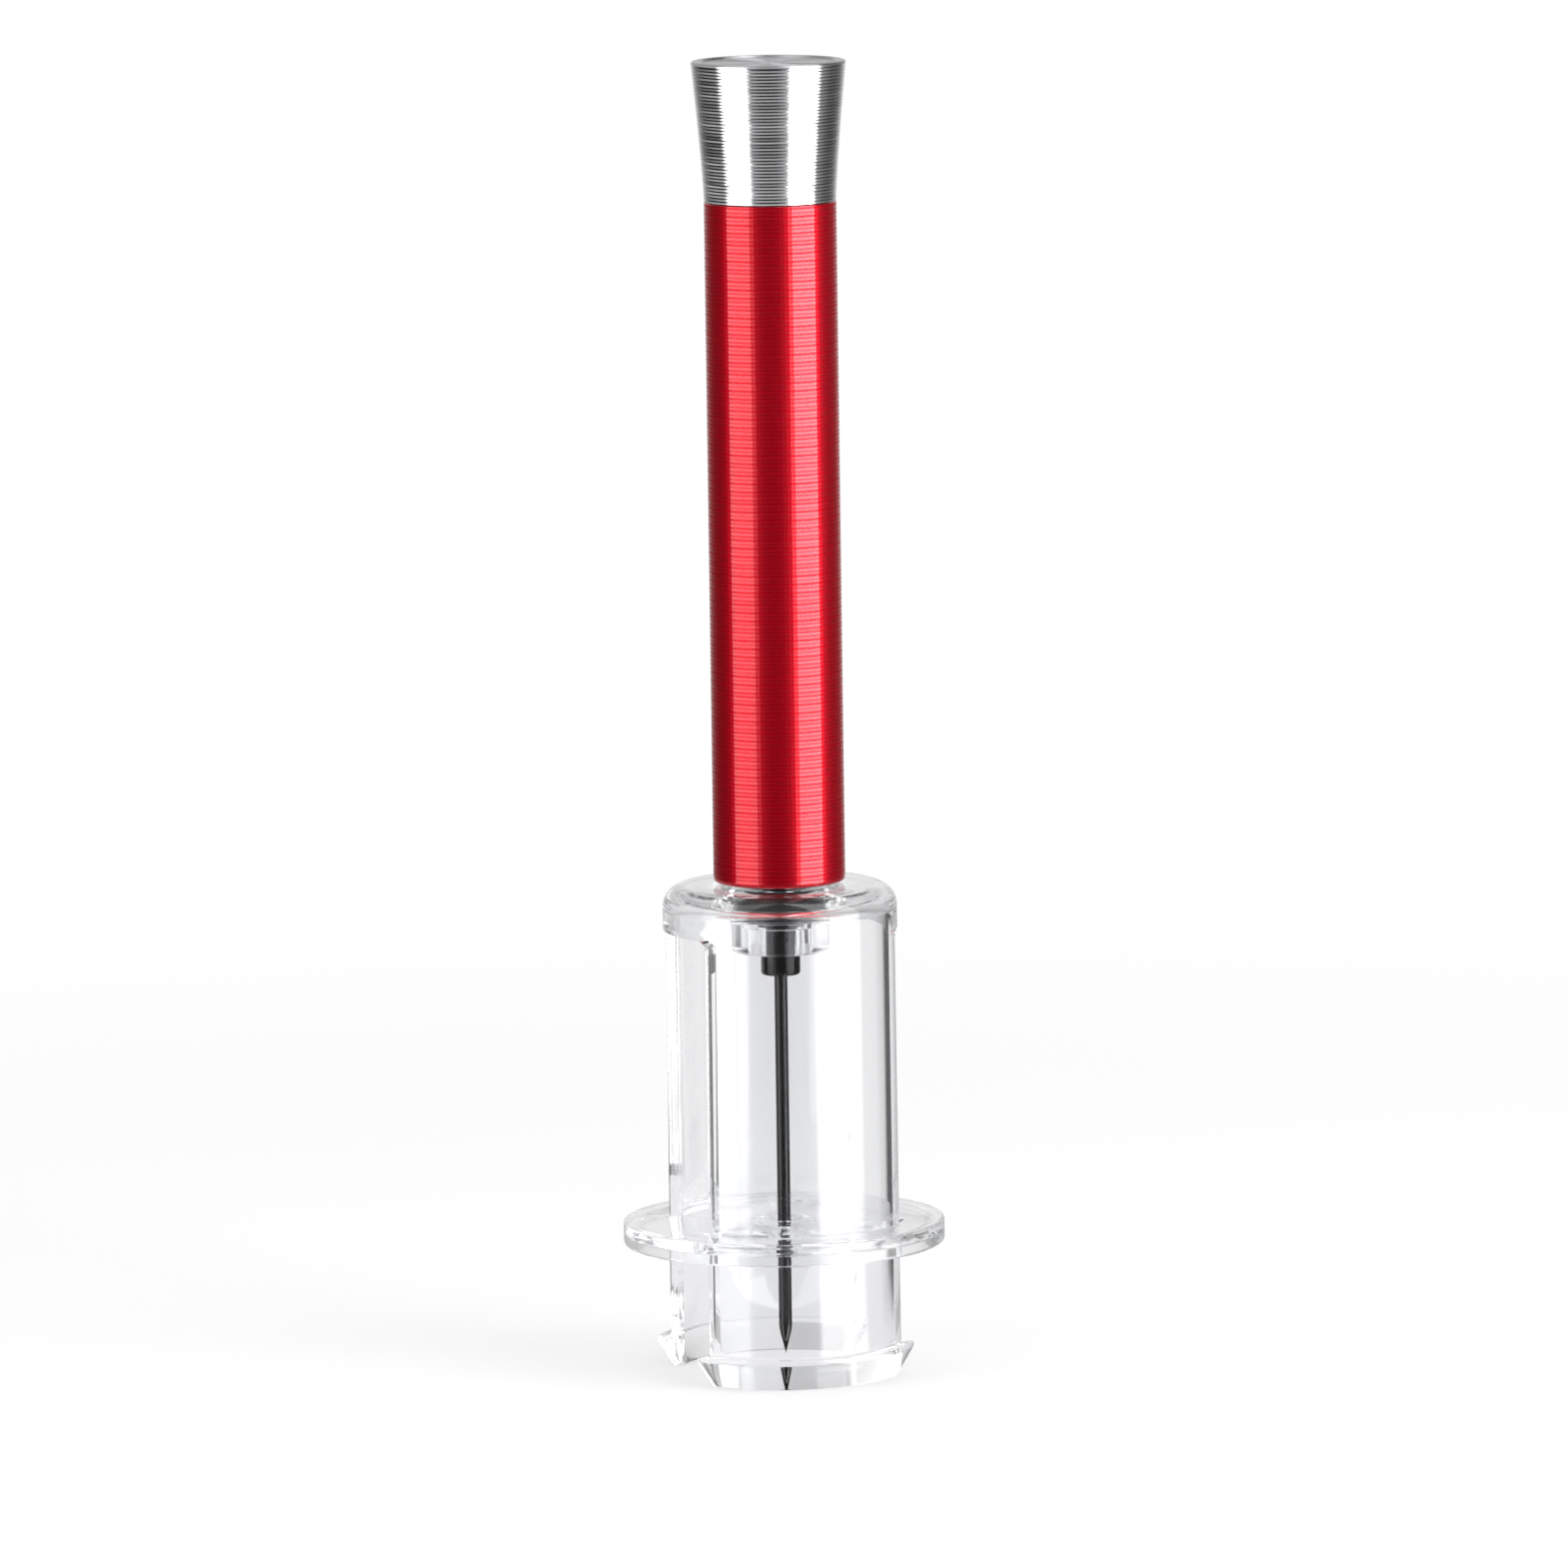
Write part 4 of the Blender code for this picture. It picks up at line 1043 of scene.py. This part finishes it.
def hang_softbox(name, azimuth, width, radiance):
    """A tall softbox that stands on the floor and faces the opener, at an azimuth from the camera's."""
    around = CAMERA_AZIMUTH + azimuth
    away = Vector((math.sin(around), -math.cos(around), 0))
    place = away * BOX_DISTANCE + Vector((0, 0, BOX_HEIGHT / 2))
    lamp = hang_lamp(name, place, width, BOX_HEIGHT, radiance)
    lamp.rotation_euler = away.to_track_quat("Z", "Y").to_euler()


def light_softboxes():
    """Two tall softboxes at the front, and a broad soft lamp overhead."""
    hang_softbox("left_softbox", LEFT_BOX_AZIMUTH, LEFT_BOX_WIDTH, LEFT_BOX_RADIANCE)
    hang_softbox("right_softbox", RIGHT_BOX_AZIMUTH, RIGHT_BOX_WIDTH, RIGHT_BOX_RADIANCE)
    hang_lamp("overhead_lamp", (0, 0, OVERHEAD_HEIGHT), OVERHEAD_SIZE, OVERHEAD_SIZE, OVERHEAD_RADIANCE)


def set_camera():
    """The photograph's camera."""
    data = bpy.data.cameras.new("camera")
    data.sensor_width = SENSOR
    data.lens = FOCAL_PIXELS * SENSOR / PHOTO_PIXELS
    camera = bpy.data.objects.new("camera", data)
    bpy.context.scene.collection.objects.link(camera)
    towards = TO_CAMERA * math.cos(CAMERA_ELEVATION) + Vector((0, 0, math.sin(CAMERA_ELEVATION)))
    spot = AIM + towards * CAMERA_DISTANCE + TO_RIGHT * AXIS_LEFT_OF_CENTRE
    turn = towards.to_track_quat("Z", "Y").to_matrix().to_4x4() @ Matrix.Rotation(CAMERA_ROLL, 4, "Z")
    camera.matrix_world = Matrix.Translation(spot) @ turn
    bpy.context.scene.camera = camera


def let_light_through():
    """Let a ray run on inside the clear plastic until it leaves it."""
    cycles = bpy.context.scene.cycles
    cycles.max_bounces = CLEAR_BOUNCES
    cycles.glossy_bounces = CLEAR_BOUNCES
    cycles.transmission_bounces = CLEAR_BOUNCES


def dress():
    """Make every piece and finish every node."""
    rubber = moulded_finish("rubber", (0.02, 0.02, 0.02, 1), (0.012, 0.012, 0.012, 1),
                            roughness=0.6, grain=2500, relief=0.01 * MM)
    black = moulded_finish("base_plastic", (0.014, 0.014, 0.016, 1), (0.008, 0.008, 0.009, 1),
                           roughness=0.3, grain=1800, relief=0.01 * MM, Specular_IOR_Level=0.3)
    white = moulded_finish("white_plastic", (0.82, 0.82, 0.80, 1), (0.76, 0.76, 0.74, 1),
                           roughness=0.38, grain=1400, relief=0.008 * MM)
    hub_black = moulded_finish("hub_plastic", (0.006, 0.006, 0.007, 1), (0.004, 0.004, 0.005, 1),
                               roughness=0.17, grain=1600, relief=0.008 * MM, Specular_IOR_Level=0.35)
    steel = steel_finish()
    make_cap()
    make_tube()
    make_sleeve(clear_finish("sleeve_plastic"))
    make_ejector(clear_finish("ejector_plastic"))
    make_hub(hub_black)
    make_needle()
    make_base(black)
    make_ring("gasket", "hub_gasket", GASKET_BORE, 0.15 * MM, rubber, "pump_body")
    make_ring("barrel", "pump_barrel", BARREL_BORE, 0.25 * MM, white, "pump_body")
    make_ring("guide_bush", "handle_guide_bush", BUSH_BORE, 0.2 * MM, white, "handle")
    finish_nodes({"rubber": rubber, "base_plastic": black, "white_plastic": white, "steel": steel})


bpy.context.scene.view_settings.view_transform = "Standard"
set_camera()
light_world()
lay_floor()
light_softboxes()
let_light_through()
dress()
